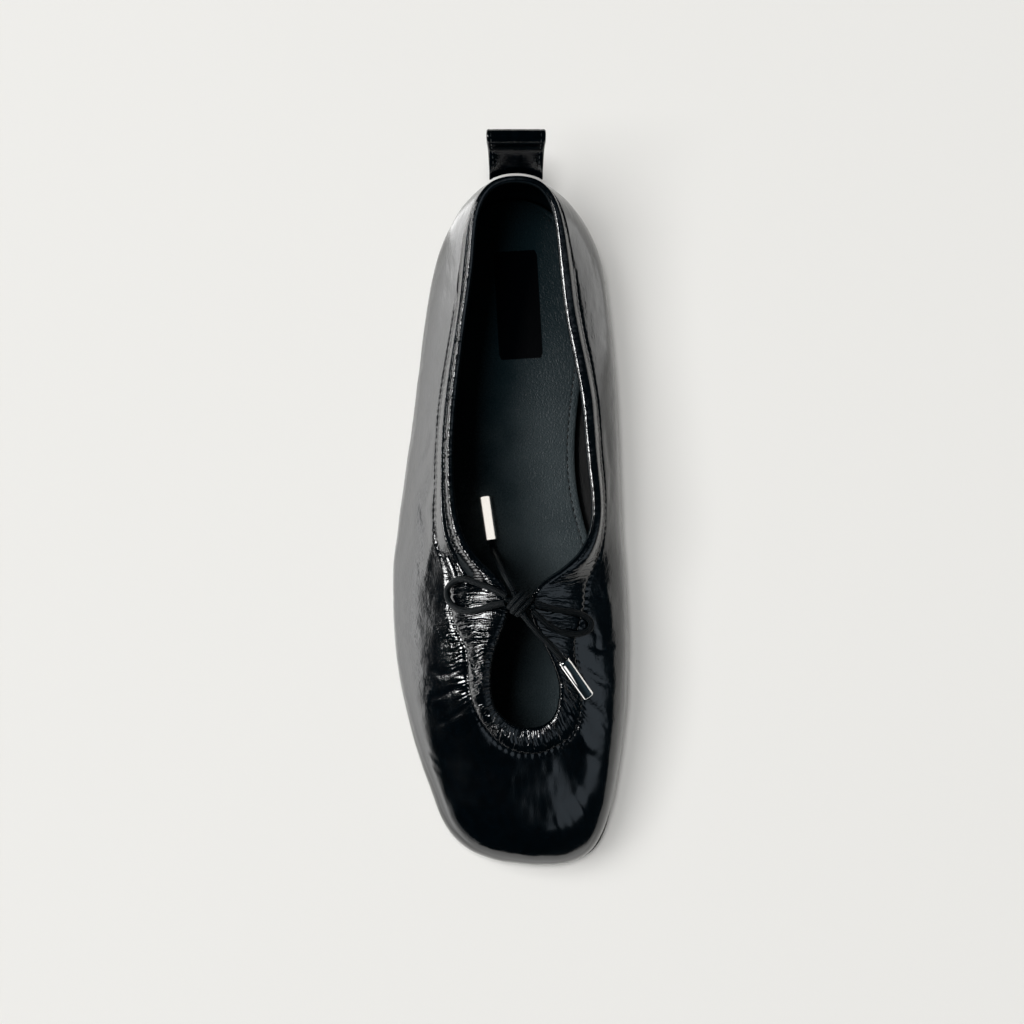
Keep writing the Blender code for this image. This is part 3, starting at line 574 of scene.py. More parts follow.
def newPiece(name, points, faces, looks, uvs=None, tints=None, sharp=None):
    mesh = bpy.data.meshes.new(name)
    mesh.from_pydata(points.tolist(), [], faces)
    for look in looks:
        mesh.materials.append(finishes[look])
    if tints is not None:
        mesh.polygons.foreach_set("material_index", np.asarray(tints, dtype=np.int32))
    if uvs is not None:
        layer = mesh.uv_layers.new(name="surface")
        layer.data.foreach_set("uv", np.asarray(uvs, dtype=np.float32).ravel())
    mesh.shade_smooth()
    if sharp:
        mesh.set_sharp_from_angle(angle=math.radians(sharp))
    return addObject(name, mesh)


def loft(name, rings, looks, closed, tints=None, sharp=None):
    # Rings of points joined in order, closed round or capped, with faces turned outwards.
    # The surface UV holds metres along and the share of the way round each ring.
    count, size = rings.shape[:2]
    index = np.arange(count * size).reshape(count, size)
    ahead = np.roll(index, -1, axis=0)
    quads = np.stack([index, np.roll(index, -1, axis=1), np.roll(ahead, -1, axis=1), ahead], axis=-1)
    middle = rings.mean(axis=1)
    metres = metresAlong(middle)
    metresAhead = np.append(metres[1:], metres[-1] + np.linalg.norm(middle[0] - middle[-1]))
    here = np.repeat(metres[:, None], size, axis=1)
    there = np.repeat(metresAhead[:, None], size, axis=1)
    share = np.repeat((np.arange(size) / size)[None, :], count, axis=0)
    uvs = np.stack([here, share, here, share + 1 / size, there, share + 1 / size, there, share],
                   axis=-1).reshape(count, size, 4, 2)
    if not closed:
        quads = quads[:-1]
        uvs = uvs[:-1]
    corners = rings.reshape(-1, 3)[quads.reshape(-1, 4)]
    volume = (np.cross(corners[:, 0], corners[:, 1]) * corners[:, 2]).sum()
    volume += (np.cross(corners[:, 0], corners[:, 2]) * corners[:, 3]).sum()
    quads = quads.reshape(-1, 4)
    uvs = uvs.reshape(-1, 4, 2)
    if volume < 0:
        quads = quads[:, ::-1]
        uvs = uvs[:, ::-1]
    faces = quads.tolist()
    uvList = uvs.reshape(-1, 2)
    shades = None if tints is None else list(tints) * (len(faces) // size)
    if not closed:
        first = index[0].tolist()
        final = index[-1].tolist()
        if volume < 0:
            final = final[::-1]
        else:
            first = first[::-1]
        faces += [first, final]
        uvList = np.vstack([uvList, np.zeros((2 * size, 2))])
        if shades is not None:
            shades += [shades[0], shades[-1]]
    return newPiece(name, rings.reshape(-1, 3), faces, looks, uvList, shades, sharp)


def finishPiece(piece, slot, *nodes):
    if nodes:
        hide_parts(*nodes)
    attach(piece, "root")
    return piece


# Gathers: how far round the topline each place is, counted in pleats
pleatSizes = {"pitch": 0.00150, "depth": 0.00042, "tailReach": 0.011, "tailDepth": 0.00034,
              "tailSpan": 0.008, "regular": 0.6, "wander": 0.7, "waver": 0.30, "sharp": 0.75,
              "middle": 0.55, "collarCloser": 1.9, "bead": 0.00030, "lump": 0.0048, "seed": 11,
              "capFade": 0.65}
# Finer folds over the pleats: how many to a pleat, how stretched, how deep
pleatFolds = [(1.3, 1.2, 0.9), (2.7, 2.2, 0.55), (5.0, 3.5, 0.25)]


def pleatTable():
    places = np.linspace(0, wayRound, 3001)[:-1]
    read, outward = readSections(places)
    rim = read[:, 3:6]
    number = sectionNumber(places)
    throat = ease((number - 6) / 2.5) * ease((31 - number) / 2)
    closer = 1 + (pleatSizes["collarCloser"] - 1) * (1 - throat)
    steps = np.linalg.norm(np.roll(rim, -1, axis=0) - rim, axis=1) * closer
    total = steps.sum()
    whole = round(total / pleatSizes["pitch"])
    return np.append(places, wayRound), np.append(0, np.cumsum(steps)) / total * whole


pleatPlaces, pleatCounts = pleatTable()


def pleatHeight(places, grid, columns, across):
    # Ridges and sharp valleys across the topline, wandering and merging, over a stretched noise
    s = pleatSizes
    spots = grid[:, columns]
    phase = np.interp(places, pleatPlaces, pleatCounts)[:, None]
    phase = phase + s["wander"] * cloud(spots, s["lump"], s["seed"])
    phase = phase + s["waver"] * cloud(spots, s["lump"] / 3, s["seed"] + 1)
    total = s["regular"] * (np.abs(np.sin(math.pi * phase)) ** s["sharp"] - s["middle"])
    away = np.broadcast_to(across, phase.shape)
    for often, long, deep in pleatFolds:
        field = np.stack([phase * often, away * long, phase * often / 24], axis=-1)
        valley = np.abs(cloud(field, 1.0, s["seed"] + int(often * 10)))
        total = total + deep * (s["middle"] - 1.6 * valley)
    strength = 0.75 + 0.60 * cloud(spots, s["lump"] * 0.8, s["seed"] + 3)
    return total * strength


# Creases of the wall: plan points in millimetres (x, y), depth and width in
# millimetres, a trough where depth is negative and a ridge where it is positive
creases = [
    # outer side, long soft crumples below the topline
    ([(-31.0, -34.0), (-30.5, -50.0), (-31.5, -62.0)], -0.30, 2.2),
    ([(-33.5, -40.0), (-34.5, -54.0)], 0.20, 1.8),
    ([(-29.5, -62.0), (-32.0, -72.0), (-36.0, -78.0)], -0.22, 1.6),
    ([(-30.0, -80.0), (-33.5, -92.0), (-32.0, -104.0)], -0.35, 2.4),
    ([(-36.0, -84.0), (-37.0, -100.0)], 0.22, 2.0),
    ([(-28.5, -93.0), (-31.0, -108.0), (-33.0, -116.0)], 0.25, 2.0),
    # outer side of the keyhole
    ([(-19.0, -150.0), (-27.0, -152.0), (-31.0, -150.0)], -0.20, 1.2),
    ([(-19.0, -156.0), (-26.0, -159.0), (-31.0, -160.0)], -0.22, 1.2),
    ([(-17.0, -163.0), (-23.0, -167.0), (-28.0, -170.0)], -0.20, 1.2),
    ([(-14.0, -169.0), (-18.0, -174.0)], -0.16, 1.1),
    # toe, outer side
    ([(-34.0, -176.0), (-27.0, -184.0)], -0.12, 0.9),
    ([(-33.0, -180.0), (-26.0, -188.0)], -0.10, 0.8),
    # toe, inner side
    ([(17.0, -199.0), (20.0, -205.0), (21.0, -210.0)], -0.09, 0.9),
    ([(21.0, -196.0), (24.0, -201.0), (25.0, -206.0)], -0.08, 0.8),
    ([(14.5, -203.0), (16.5, -208.0), (17.0, -212.0)], 0.08, 0.9),
    # inner side, from the keyhole out to the wall
    ([(25.0, -141.0), (31.0, -143.0), (36.0, -141.0)], -0.24, 1.4),
    ([(24.0, -150.0), (30.0, -154.0), (35.0, -156.0)], -0.26, 1.5),
    ([(24.0, -160.0), (30.0, -166.0), (33.0, -172.0)], -0.22, 1.5),
    ([(20.0, -168.0), (25.0, -176.0), (29.0, -180.0)], 0.20, 1.8),
    ([(26.0, -131.0), (29.0, -138.0), (29.0, -146.0)], -0.30, 1.1),
    ([(31.0, -118.0), (34.0, -128.0), (34.0, -138.0)], 0.22, 2.2),
    # inner side, waist
    ([(32.0, -62.0), (34.5, -78.0), (33.5, -92.0)], -0.24, 2.2),
    ([(34.0, -96.0), (37.0, -104.0)], -0.18, 1.4),
    ([(31.5, -26.0), (32.5, -40.0), (33.5, -52.0)], -0.22, 2.4),
    # heel
    ([(-29.0, -8.0), (-31.0, -20.0)], -0.16, 2.0),
    ([(27.0, 4.0), (30.0, -8.0), (31.0, -20.0)], -0.18, 2.2),
]
creaseEnds = {"share": 0.2, "least": 0.35}  # each crease fades over this share, to this depth
crumpleSizes = {"swell": 0.016, "swellDepth": 0.00020, "fold": 0.0055, "foldDepth": 0.00010,
                "wrinkle": 0.0022, "wrinkleDepth": 0.000040}


def nearestRun(points, route):
    best = np.full(points.shape[:-1], 1e9)
    share = np.zeros(points.shape[:-1])
    legs = len(route) - 1
    for i in range(legs):
        run = route[i + 1] - route[i]
        t = np.clip(((points - route[i]) @ run) / (run @ run), 0, 1)
        away = np.linalg.norm(points - route[i] - t[..., None] * run, axis=-1)
        near = away < best
        best = np.where(near, away, best)
        share = np.where(near, (i + t) / legs, share)
    return best, share


def creaseHeight(grid):
    total = np.zeros(grid.shape[:2])
    flat = grid.reshape(-1, 3)
    plan = flat[:, :2] * 1000
    for marks, depth, width in creases:
        route = []
        for mark in marks:
            away = np.linalg.norm(plan - np.array(mark), axis=1)
            route.append(flat[int(np.argmin(away))])
        away, share = nearestRun(grid, np.array(route))
        fade = within(share, 0, 1, creaseEnds["share"])
        fade = creaseEnds["least"] + (1 - creaseEnds["least"]) * fade
        total += depth / 1000 * np.exp(-(away * 1000 / width) ** 2) * fade
    return total


def crumple(grid):
    s = crumpleSizes
    return (s["swellDepth"] * cloud(grid, s["swell"], 21)
            + s["foldDepth"] * cloud(grid * [1.0, 0.6, 1.0], s["fold"], 22)
            + s["wrinkleDepth"] * cloud(grid * [1.0, 0.5, 0.8], s["wrinkle"], 23))


stitchSizes = {"pitch": 0.0024, "length": 0.0017, "radius": 0.00020, "rings": 6, "sides": 6,
               "pucker": 0.00022, "sunk": 0.00008}
# hidden: columns of the wall under the casing, as shares of its width and millimetres sunk
wallSizes = {"stations": 1360, "crowd": 2.4, "under": 8, "body": 42,
             "hidden": ((0.95, -0.10), (0.86, -0.35), (0.76, -0.60)), "stitchPull": 0.00030,
             "pullWide": 0.0009, "puckerWide": 0.0006}


def makeWall():
    s = wallSizes
    places = placesRound(s["stations"], s["crowd"])
    shares = [share for share, sunk in s["hidden"]]
    grid, normal, across, read = upperSkin(places, s["under"], s["body"], (1.0, *shares))
    edge = s["under"] + s["body"]
    lift = crumple(grid) + creaseHeight(grid)
    fromStitch = np.linalg.norm(grid - grid[:, edge][:, None, :], axis=2)
    reach = pleatSizes["tailReach"] * np.clip(read[:, 14:15], 0, None) + 1e-5
    tail = np.clip(1 - fromStitch / reach, 0, 1) ** 1.5 * np.clip(read[:, 14:15], 0, 1)
    folds = pleatHeight(places, grid, slice(None), fromStitch / pleatSizes["tailSpan"])
    lift = lift + folds * tail * pleatSizes["tailDepth"]
    sewn = within(sectionNumber(places), *spans["sewn"])[:, None]
    pull = np.exp(-(fromStitch / s["pullWide"]) ** 2) * s["stitchPull"]
    pucker = np.exp(-(fromStitch / s["puckerWide"]) ** 2) * stitchSizes["pucker"]
    lift = lift - (pull + pucker * stitchWave(grid[:, edge])[:, None]) * sewn
    lift[:, :edge + 1] *= ease(np.arange(edge + 1) / 6)[None, :]
    for i, (share, sunk) in enumerate(s["hidden"]):
        lift[:, edge + 1 + i] = sunk / 1000
    outer = grid + normal * lift[:, :, None]
    kept = [0, 2, 4, 6] + list(range(8, edge, 5)) + [edge, edge + 3]
    inner = grid - normal * last["wall"]
    inner[:, 0, 2] = outer[:, 0, 2]
    rings = np.concatenate([outer, inner[:, kept[::-1]]], axis=1)
    tints = [0] * grid.shape[1] + [1] * len(kept)
    piece = loft("upper_wall", rings, ["patent", "lining"], True, tints)
    finishPiece(piece, "patent_leather", "upper")


# The drawstring tunnel round the keyhole, from the stitch line to the rim: share of its width,
# lift of its skin in millimetres, share of the pleats' depth
keyholeProfile = [
    (1.000, -0.30, 0.00), (0.985, -0.14, 0.10), (0.955, 0.04, 0.30), (0.900, 0.26, 0.50),
    (0.820, 0.52, 0.65), (0.740, 0.74, 0.75), (0.660, 0.92, 0.85), (0.580, 1.03, 0.95),
    (0.480, 1.10, 1.00), (0.340, 1.10, 0.90), (0.220, 1.08, 0.85), (0.160, 1.04, 0.80),
    (0.100, 0.98, 0.75), (0.050, 0.90, 0.70), (0.000, 0.80, 0.65),
]
# Along the collar, from the stitch line to the crown of the rim: share of the level distance,
# millimetres below the crown, share of the rest of the fall, share of the pleats' depth
outerProfile = [
    (1.000, 2.00, 1.00, 0.00), (0.985, 2.00, 0.92, 0.05), (0.955, 2.00, 0.80, 0.12),
    (0.900, 2.00, 0.64, 0.15), (0.820, 2.00, 0.40, 0.15), (0.740, 1.98, 0.18, 0.15),
    (0.680, 1.92, 0.06, 0.15), (0.640, 1.84, 0.01, 0.12), (0.600, 1.78, 0.00, 0.10),
    (0.560, 1.80, 0.00, 0.10), (0.500, 1.90, 0.00, 0.12), (0.450, 1.99, 0.00, 0.25),
    (0.415, 2.01, 0.00, 0.50), (0.390, 1.92, 0.00, 0.75), (0.350, 1.58, 0.00, 1.00),
    (0.290, 1.05, 0.00, 1.00), (0.230, 0.58, 0.00, 1.00), (0.170, 0.26, 0.00, 0.85),
    (0.110, 0.09, 0.00, 0.55), (0.050, 0.02, 0.00, 0.40), (0.000, 0.00, 0.00, 0.30),
]
innerProfile = [
    (1.000, 0.80, 1.00, 0.00), (0.985, 0.80, 0.93, 0.05), (0.955, 0.80, 0.84, 0.15),
    (0.900, 0.80, 0.68, 0.20), (0.820, 0.80, 0.47, 0.25), (0.740, 0.79, 0.28, 0.30),
    (0.660, 0.74, 0.12, 0.30), (0.600, 0.64, 0.04, 0.30), (0.540, 0.50, 0.01, 0.30),
    (0.480, 0.38, 0.00, 0.30), (0.400, 0.26, 0.00, 0.30), (0.320, 0.16, 0.00, 0.30),
    (0.240, 0.09, 0.00, 0.35), (0.160, 0.04, 0.00, 0.40), (0.080, 0.01, 0.00, 0.45),
    (0.000, 0.00, 0.00, 0.50),
]


def profileShares(number):
    # How much of each profile holds at a place: keyhole, outer collar, inner collar with heel
    keyhole = within(number, *spans["keyhole"])
    start, toe, soft = spans["outer"]
    outer = ease((number - start) / soft) * (number < toe) * (1 - keyhole)
    return keyhole, outer, 1 - keyhole - outer


def readProfile(profile, dense):
    shares, *columns = np.array(profile).T
    return [np.interp(-dense, -shares, column) for column in columns]


def surfaceNormals(grid, like):
    # Normals of a grid closed along its first side, on the same side as like
    normal = unit(np.cross(np.roll(grid, -1, axis=0) - np.roll(grid, 1, axis=0),
                           np.gradient(grid, axis=1)))
    return normal * np.sign((normal * like).sum(axis=2))[:, :, None]


def stitchWave(line):
    # 1 in the middle of each stitch and 0 at its holes
    steps = np.linalg.norm(np.roll(line, -1, axis=0) - line, axis=1)
    metres = np.append(0, np.cumsum(steps[:-1]))
    return 0.5 - 0.5 * np.cos(metres * 2 * math.pi / stitchSizes["pitch"])


# wide: the level distance at which a collar profile has its full drops. mostDrop: the share of
# the fall from crown to seam that they may take. capLeather: how far over the rim the patent
# leather goes before the lining starts, in steps of the cap.
casingSizes = {"stations": 2500, "crowd": 2.6, "under": 3, "body": 10, "capSteps": 9,
               "capLeather": 3, "inner": (0.04, 0.10, 0.18, 0.28, 0.38), "innerSink": 0.0022,
               "seamSink": 0.0003, "wide": 0.0038, "mostDrop": 0.8, "puckerWide": 0.0005,
               "swell": 0.009, "swellDepth": 0.00010, "overWall": 0.0001}


def makeCasing():
    s = casingSizes
    places = placesRound(s["stations"], s["crowd"])
    dense = np.unique(np.concatenate([np.linspace(1, 0, 33), [0.985, 0.955]]))[::-1]
    grid, normal, across, read = upperSkin(places, s["under"], s["body"], dense)
    first = s["under"] + s["body"]
    skin = grid[:, first:]
    out = normal[:, first:]
    number = sectionNumber(places)
    keyhole, outerShare, innerShare = profileShares(number)

    lifts, depths = readProfile(keyholeProfile, dense)
    base = (skin + out * lifts[None, :, None] / 1000) * keyhole[:, None, None]
    pleated = keyhole[:, None] * depths[None, :]
    half = last["rim"] / 2
    centre = skin[:, -1] - out[:, -1] * (half - last["casingRaise"])
    start = (1 - keyhole) * read[:, 11]
    crown = centre + half * (out[:, -1] * np.cos(start)[:, None] + across * np.sin(start)[:, None])
    seam = skin[:, 0] - out[:, 0] * s["seamSink"]
    run = seam - crown
    fall = -run[:, 2:]
    run[:, 2] = 0
    wide = np.linalg.norm(run, axis=1)[:, None]
    for profile, share in ((outerProfile, outerShare), (innerProfile, innerShare)):
        drops, falls, depths = readProfile(profile, dense)
        drops = drops[None, :] / 1000
        drops = drops * np.minimum(wide / s["wide"], s["mostDrop"] * fall / drops[0, 0])
        sheet = crown[:, None] + run[:, None] * dense[None, :, None]
        sheet[:, :, 2] -= drops + falls[None, :] * (fall - drops[:, :1])
        base += sheet * share[:, None, None]
        pleated = pleated + share[:, None] * depths[None, :]

    facing = surfaceNormals(base, out)
    sewn = within(number, *spans["sewn"])
    wave = (stitchWave(skin[:, 0]) * sewn)[:, None]
    near = np.exp(-((1 - dense) * last["casing"] / s["puckerWide"]) ** 2)[None, :]
    lift = -wave * near * stitchSizes["pucker"]
    gathered = np.clip(read[:, 13:14], 0, None)
    folds = pleatHeight(places, grid, slice(first, None), dense)
    swell = cloud(skin, s["swell"], 31) * s["swellDepth"]
    lift = lift + folds * pleated * gathered * pleatSizes["depth"]
    phase = math.pi * np.interp(places, pleatPlaces, pleatCounts)[:, None]
    beads = (np.abs(np.sin(phase)) ** 0.7 - 0.6) * outerShare[:, None]
    lift = lift + beads * pleated ** 2 * gathered * pleatSizes["bead"]
    lift = lift + swell * ease((1 - dense) * 8)[None, :]
    outer = base + facing * lift[:, :, None]
    cap = []
    for step in range(1, s["capSteps"]):
        turn = start + (math.pi - start) * step / s["capSteps"]
        fade = pleatSizes["capFade"] * math.cos(math.pi / 2 * step / s["capSteps"])
        radius = half + folds[:, -1] * pleatSizes["depth"] * gathered[:, 0] * pleated[:, -1] * fade
        cap.append(centre + (out[:, -1] * np.cos(turn)[:, None]
                             + across * np.sin(turn)[:, None]) * radius[:, None])
    inner = []
    for share in (0.0, *s["inner"]):
        column = int(np.argmin(np.abs(dense - share)))
        sink = np.interp(share, [0, 0.3], [s["innerSink"], last["wall"] + s["overWall"]])
        inner.append(skin[:, column] - out[:, column] * sink)
    rings = np.concatenate([outer, np.stack(cap + inner, axis=1)], axis=1)
    leather = outer.shape[1] + s["capLeather"]
    tints = [0] * leather + [1] * (rings.shape[1] - leather)
    piece = loft("upper_casing", rings, ["patent", "lining"], True, tints)
    finishPiece(piece, "patent_leather", "upper")
    line = (base[:, 0] + base[:, 1]) / 2 - facing[:, 1] * stitchSizes["sunk"]
    return line[sewn > 0.5]


makeWall()
print("wall made")
stitchLine = makeCasing()
print("casing made")


def stitchTree():
    # A Geometry Nodes tree that lays short threads along a line of edges
    tree = bpy.data.node_groups.new("stitchesAlongLine", "GeometryNodeTree")
    face = tree.interface
    face.new_socket("Line", in_out="INPUT", socket_type="NodeSocketGeometry")
    for name in ("Pitch", "Length", "Radius"):
        face.new_socket(name, in_out="INPUT", socket_type="NodeSocketFloat")
    face.new_socket("Finish", in_out="INPUT", socket_type="NodeSocketMaterial")
    face.new_socket("Stitches", in_out="OUTPUT", socket_type="NodeSocketGeometry")
    graph = Graph(tree)
    start = tree.nodes.new("NodeGroupInput")
    pins = {socket.name: Wire(graph, socket) for socket in start.outputs if socket.name}
    curve = graph.add("GeometryNodeMeshToCurve", {}, {"Mesh": pins["Line"]})
    even = graph.add("GeometryNodeResampleCurve", {"mode": "LENGTH"},
                     {"Curve": curve, "Length": pins["Pitch"]})
    tangent = graph.add("GeometryNodeInputTangent")
    turn = graph.add("FunctionNodeAlignEulerToVector", {"axis": "X"}, {"Vector": tangent})
    ball = graph.add("GeometryNodeMeshUVSphere", {}, {"Segments": stitchSizes["sides"],
                                                      "Rings": stitchSizes["rings"], "Radius": 1.0})
    scale = graph.add("ShaderNodeCombineXYZ", {}, {0: pins["Length"] * 0.5, 1: pins["Radius"],
                                                   2: pins["Radius"]})
    laid = graph.add("GeometryNodeInstanceOnPoints", {}, {"Points": even, "Instance": ball,
                                                          "Rotation": turn, "Scale": scale})
    real = graph.add("GeometryNodeRealizeInstances", {}, {"Geometry": laid})
    smooth = graph.add("GeometryNodeSetShadeSmooth", {}, {"Geometry": real})
    done = graph.add("GeometryNodeSetMaterial", {}, {"Geometry": smooth, "Material": pins["Finish"]})
    end = tree.nodes.new("NodeGroupOutput")
    tree.links.new(done.socket, end.inputs[0])
    return tree


stitchesAlongLine = stitchTree()


def sewLines(name, lines, slot, closed=False, **sizes):
    points = []
    edges = []
    for line in lines:
        start = len(points)
        points += [tuple(point) for point in line]
        edges += [(start + i, start + i + 1) for i in range(len(line) - 1)]
        if closed:
            edges.append((len(points) - 1, start))
    mesh = bpy.data.meshes.new(name + "Line")
    mesh.from_pydata(points, edges, [])
    guide = addObject(name + "Line", mesh)
    modifier = guide.modifiers.new("stitches", "NODES")
    modifier.node_group = stitchesAlongLine
    wanted = {key.title(): sizes.get(key, stitchSizes[key]) for key in ("pitch", "length", "radius")}
    wanted["Finish"] = finishes["thread"]
    for socket in stitchesAlongLine.interface.items_tree:
        if socket.name in wanted:
            modifier[socket.identifier] = wanted[socket.name]
    graph = bpy.context.evaluated_depsgraph_get()
    made = bpy.data.meshes.new_from_object(guide.evaluated_get(graph))
    made.name = name
    bpy.data.objects.remove(guide)
    finishPiece(addObject(name, made), slot)


sewLines("casing_stitches", [stitchLine], "patent_leather")
print("casing stitches made")


# Sole layers
def featherOutline(count):
    read, outward = readSections(np.arange(count) / count * wayRound)
    return read[:, :2] - outward * read[:, 6:7], outward, read[:, 7], read[:, 8]


def sidesAt(outline, y):
    toe = int(np.argmin(outline[:, 1]))
    heel = int(np.argmax(outline[:, 1]))
    turned = np.roll(outline, -heel, axis=0)
    toe = (toe - heel) % len(outline)
    first = turned[:toe + 1][::-1]
    second = np.vstack([turned[toe:], turned[:1]])
    one = np.interp(y, first[:, 1], first[:, 0])
    two = np.interp(y, second[:, 1], second[:, 0])
    return np.minimum(one, two), np.maximum(one, two)


def endCrowded(low, high, count):
    share = np.linspace(0, 1, count)
    return low + (high - low) * (0.12 * share + 0.88 * (0.5 - 0.5 * np.cos(np.pi * share)))


# Distances in from the edge, in millimetres, where a layer's skin has points, and how far
# short of its full height it is there
soleEdge = [(0.0, 0.55), (0.08, 0.30), (0.25, 0.12), (0.55, 0.02), (1.0, 0.0)]
soleUnder = [(0.0, 0.35), (0.12, 0.12), (0.4, 0.0), (1.0, 0.0)]
insoleEdge = [(0.0, 0.75), (0.25, 0.42), (0.6, 0.20), (1.2, 0.05), (1.9, 0.02), (2.5, 0.10),
              (2.8, 0.26), (3.1, 0.10), (3.8, 0.0)]


def soleLayer(name, outline, bottom, top, look, edge, under, rows, crown=0.0):
    # Rings across the layer from heel to toe, along its bottom and back over its top
    low = outline[:, 1].min() + 0.0001
    high = outline[:, 1].max() - 0.0001
    rings = []
    middle = np.linspace(0, 1, 9)[1:-1]
    for y in endCrowded(low, high, rows):
        left, right = sidesAt(outline, y)
        half = (right - left) / 2
        endDrop = np.interp(min(y - low, high - y) * 1000, *zip(*edge)) / 1000
        ring = []
        for drops, height, sign in ((under, float(bottom(y)), 1), (edge, float(top(y)), -1)):
            insets = [min(d / 1000, half * 0.98) for d, drop in drops]
            least = endDrop if sign < 0 else 0.0
            heights = [height + sign * max(drop / 1000, least) for d, drop in drops]
            row = [(left + inset, y, z) for inset, z in zip(insets, heights)]
            for share in middle:
                x = left + insets[-1] + (right - left - 2 * insets[-1]) * share
                row.append((x, y, heights[-1] + (crown * math.sin(math.pi * share) if sign < 0 else 0)))
            row += [(right - inset, y, z) for inset, z in zip(insets[::-1], heights[::-1])]
            ring += row[::sign]
        rings.append(ring)
    return loft(name, np.array(rings), [look], False, sharp=50)


def soleOutline():
    line, outward, lip, notch = featherOutline(900)
    return line + outward * lip[:, None]


def makeOutsole():
    piece = soleLayer("outsole_skin", soleOutline(), groundRise,
                      lambda y: groundRise(y) + last["sole"], "rubber", soleEdge, soleUnder, 150)
    finishPiece(piece, "sole_rubber", "outsole")


insoleShape = {"rows": 170, "crown": 0.0005, "stitchIn": 0.0028, "stitchSunk": 0.00012}


def insoleOutline():
    line, outward, lip, notch = featherOutline(900)
    inset = last["wall"] + last["insoleGap"] + notch
    return line - outward * inset[:, None], outward


def insoleTop(y):
    return featherHeight(y) + last["insole"]


def makeInsole():
    s = insoleShape
    outline, outward = insoleOutline()
    piece = soleLayer("insole_sock", outline, featherHeight, insoleTop, "sock", insoleEdge,
                      insoleEdge, s["rows"], crown=s["crown"])
    finishPiece(piece, "insole_leather", "insole")
    line = outline - outward * s["stitchIn"]
    height = insoleTop(line[:, 1]) - s["stitchSunk"]
    sewLines("insole_stitches", [np.column_stack([line, height])], "insole_leather",
             closed=True, pitch=0.0027, length=0.0019, radius=0.00028)


labelSizes = {"centre": (0.0008, -0.0148), "long": 0.0402, "wide": 0.0160, "turn": 3.3,
              "corner": 0.0008, "thick": 0.00016, "seat": 0.00006, "steps": 24}


def makeLabel():
    # A thin blank patch that follows the sock's crown, its corners rounded
    s = labelSizes
    turn = math.radians(s["turn"])
    alongWay = np.array([math.sin(turn), -math.cos(turn)])
    sideWay = np.array([math.cos(turn), math.sin(turn)])
    rings = []
    outline, outward = insoleOutline()
    for share in np.linspace(-0.5, 0.5, s["steps"]):
        run = share * s["long"]
        inset = max(0.0, abs(run) - (s["long"] / 2 - s["corner"]))
        half = s["wide"] / 2 - (s["corner"] - math.sqrt(max(0, s["corner"] ** 2 - inset ** 2)))
        low = []
        high = []
        for across in np.linspace(-1, 1, 9):
            spot = np.array(s["centre"]) + alongWay * run + sideWay * half * across
            left, right = sidesAt(outline, spot[1])
            bulge = math.sin(math.pi * (spot[0] - left) / (right - left))
            level = float(insoleTop(spot[1])) + insoleShape["crown"] * bulge
            atEdge = abs(across) == 1 or abs(share) == 0.5
            low.append((*spot, level - s["seat"]))
            high.append((*spot, level + s["thick"] * (0.4 if atEdge else 1.0)))
        rings.append(low + high[::-1])
    piece = loft("insole_label", np.array(rings), ["label"], False, sharp=60)
    finishPiece(piece, "insole_leather")


# Heights of the heel's skin, the share of its taper there, and how deep a seam is nicked in
heelLevels = [(0.0, 1.0, 0.0004), (0.0004, 1.0, 0.0), (0.0026, 0.75, 0.0), (0.0028, 0.74, 0.00015),
              (0.0030, 0.72, 0.0), (0.0055, 0.4, 0.0), (0.0057, 0.38, 0.00012),
              (0.0059, 0.36, 0.0), (last["heelHeight"], 0.0, 0.0)]


def makeHeel():
    outline = soleOutline()
    back = outline[:, 1].max() - last["heelInset"]
    breast = back - last["heelBlock"]
    rings = []
    for y in endCrowded(breast, back - 0.0002, 60):
        left, right = sidesAt(outline, y + last["heelInset"])
        left += last["heelInset"]
        right -= last["heelInset"]
        middle = (left + right) / 2
        half = (right - left) / 2
        shift = last["heelTaper"] * ease((y - breast) / last["heelBlock"])
        side = []
        for z, taper, nick in heelLevels:
            wide = half - min(last["heelTaper"], half * 0.3) * taper - min(nick, half * 0.2)
            side.append((wide, y - shift * taper, z))
        rings.append([(middle - wide, at, z) for wide, at, z in side[::-1]]
                     + [(middle + wide, at, z) for wide, at, z in side])
    piece = loft("heel_stack", np.array(rings), ["heel"], False, sharp=40)
    finishPiece(piece, "sole_rubber", "heel_block")


makeOutsole()
makeInsole()
makeLabel()
makeHeel()
print("sole, sock and heel made")

# Pull tab, folded to a loop and sewn to the back
tab = {"width": 0.0192, "flare": 0.11, "thick": 0.0012, "seat": 0.0007, "rise": 0.0168,
       "lean": math.radians(32), "sewn": 0.0120, "roll": 0.0021, "drop": 0.0010, "puff": 0.0006,
       "backZone": 0.022, "steps": 110, "columns": 27, "stitchIn": 0.0015, "round": 0.0005,
       "groove": 0.00012, "grooveWide": 0.0004, "free": (0.27, 0.70)}


def backSurface(grid, x, z):
    near = np.where(grid[:, 6, 1] > last["heelBack"] - tab["backZone"])[0]
    line = []
    for i in near:
        wall = grid[i, 3:]
        line.append([np.interp(z, wall[:, 2], wall[:, 0]), np.interp(z, wall[:, 2], wall[:, 1])])
    line = np.array(sorted(line))
    return float(np.interp(x, line[:, 0], line[:, 1]))


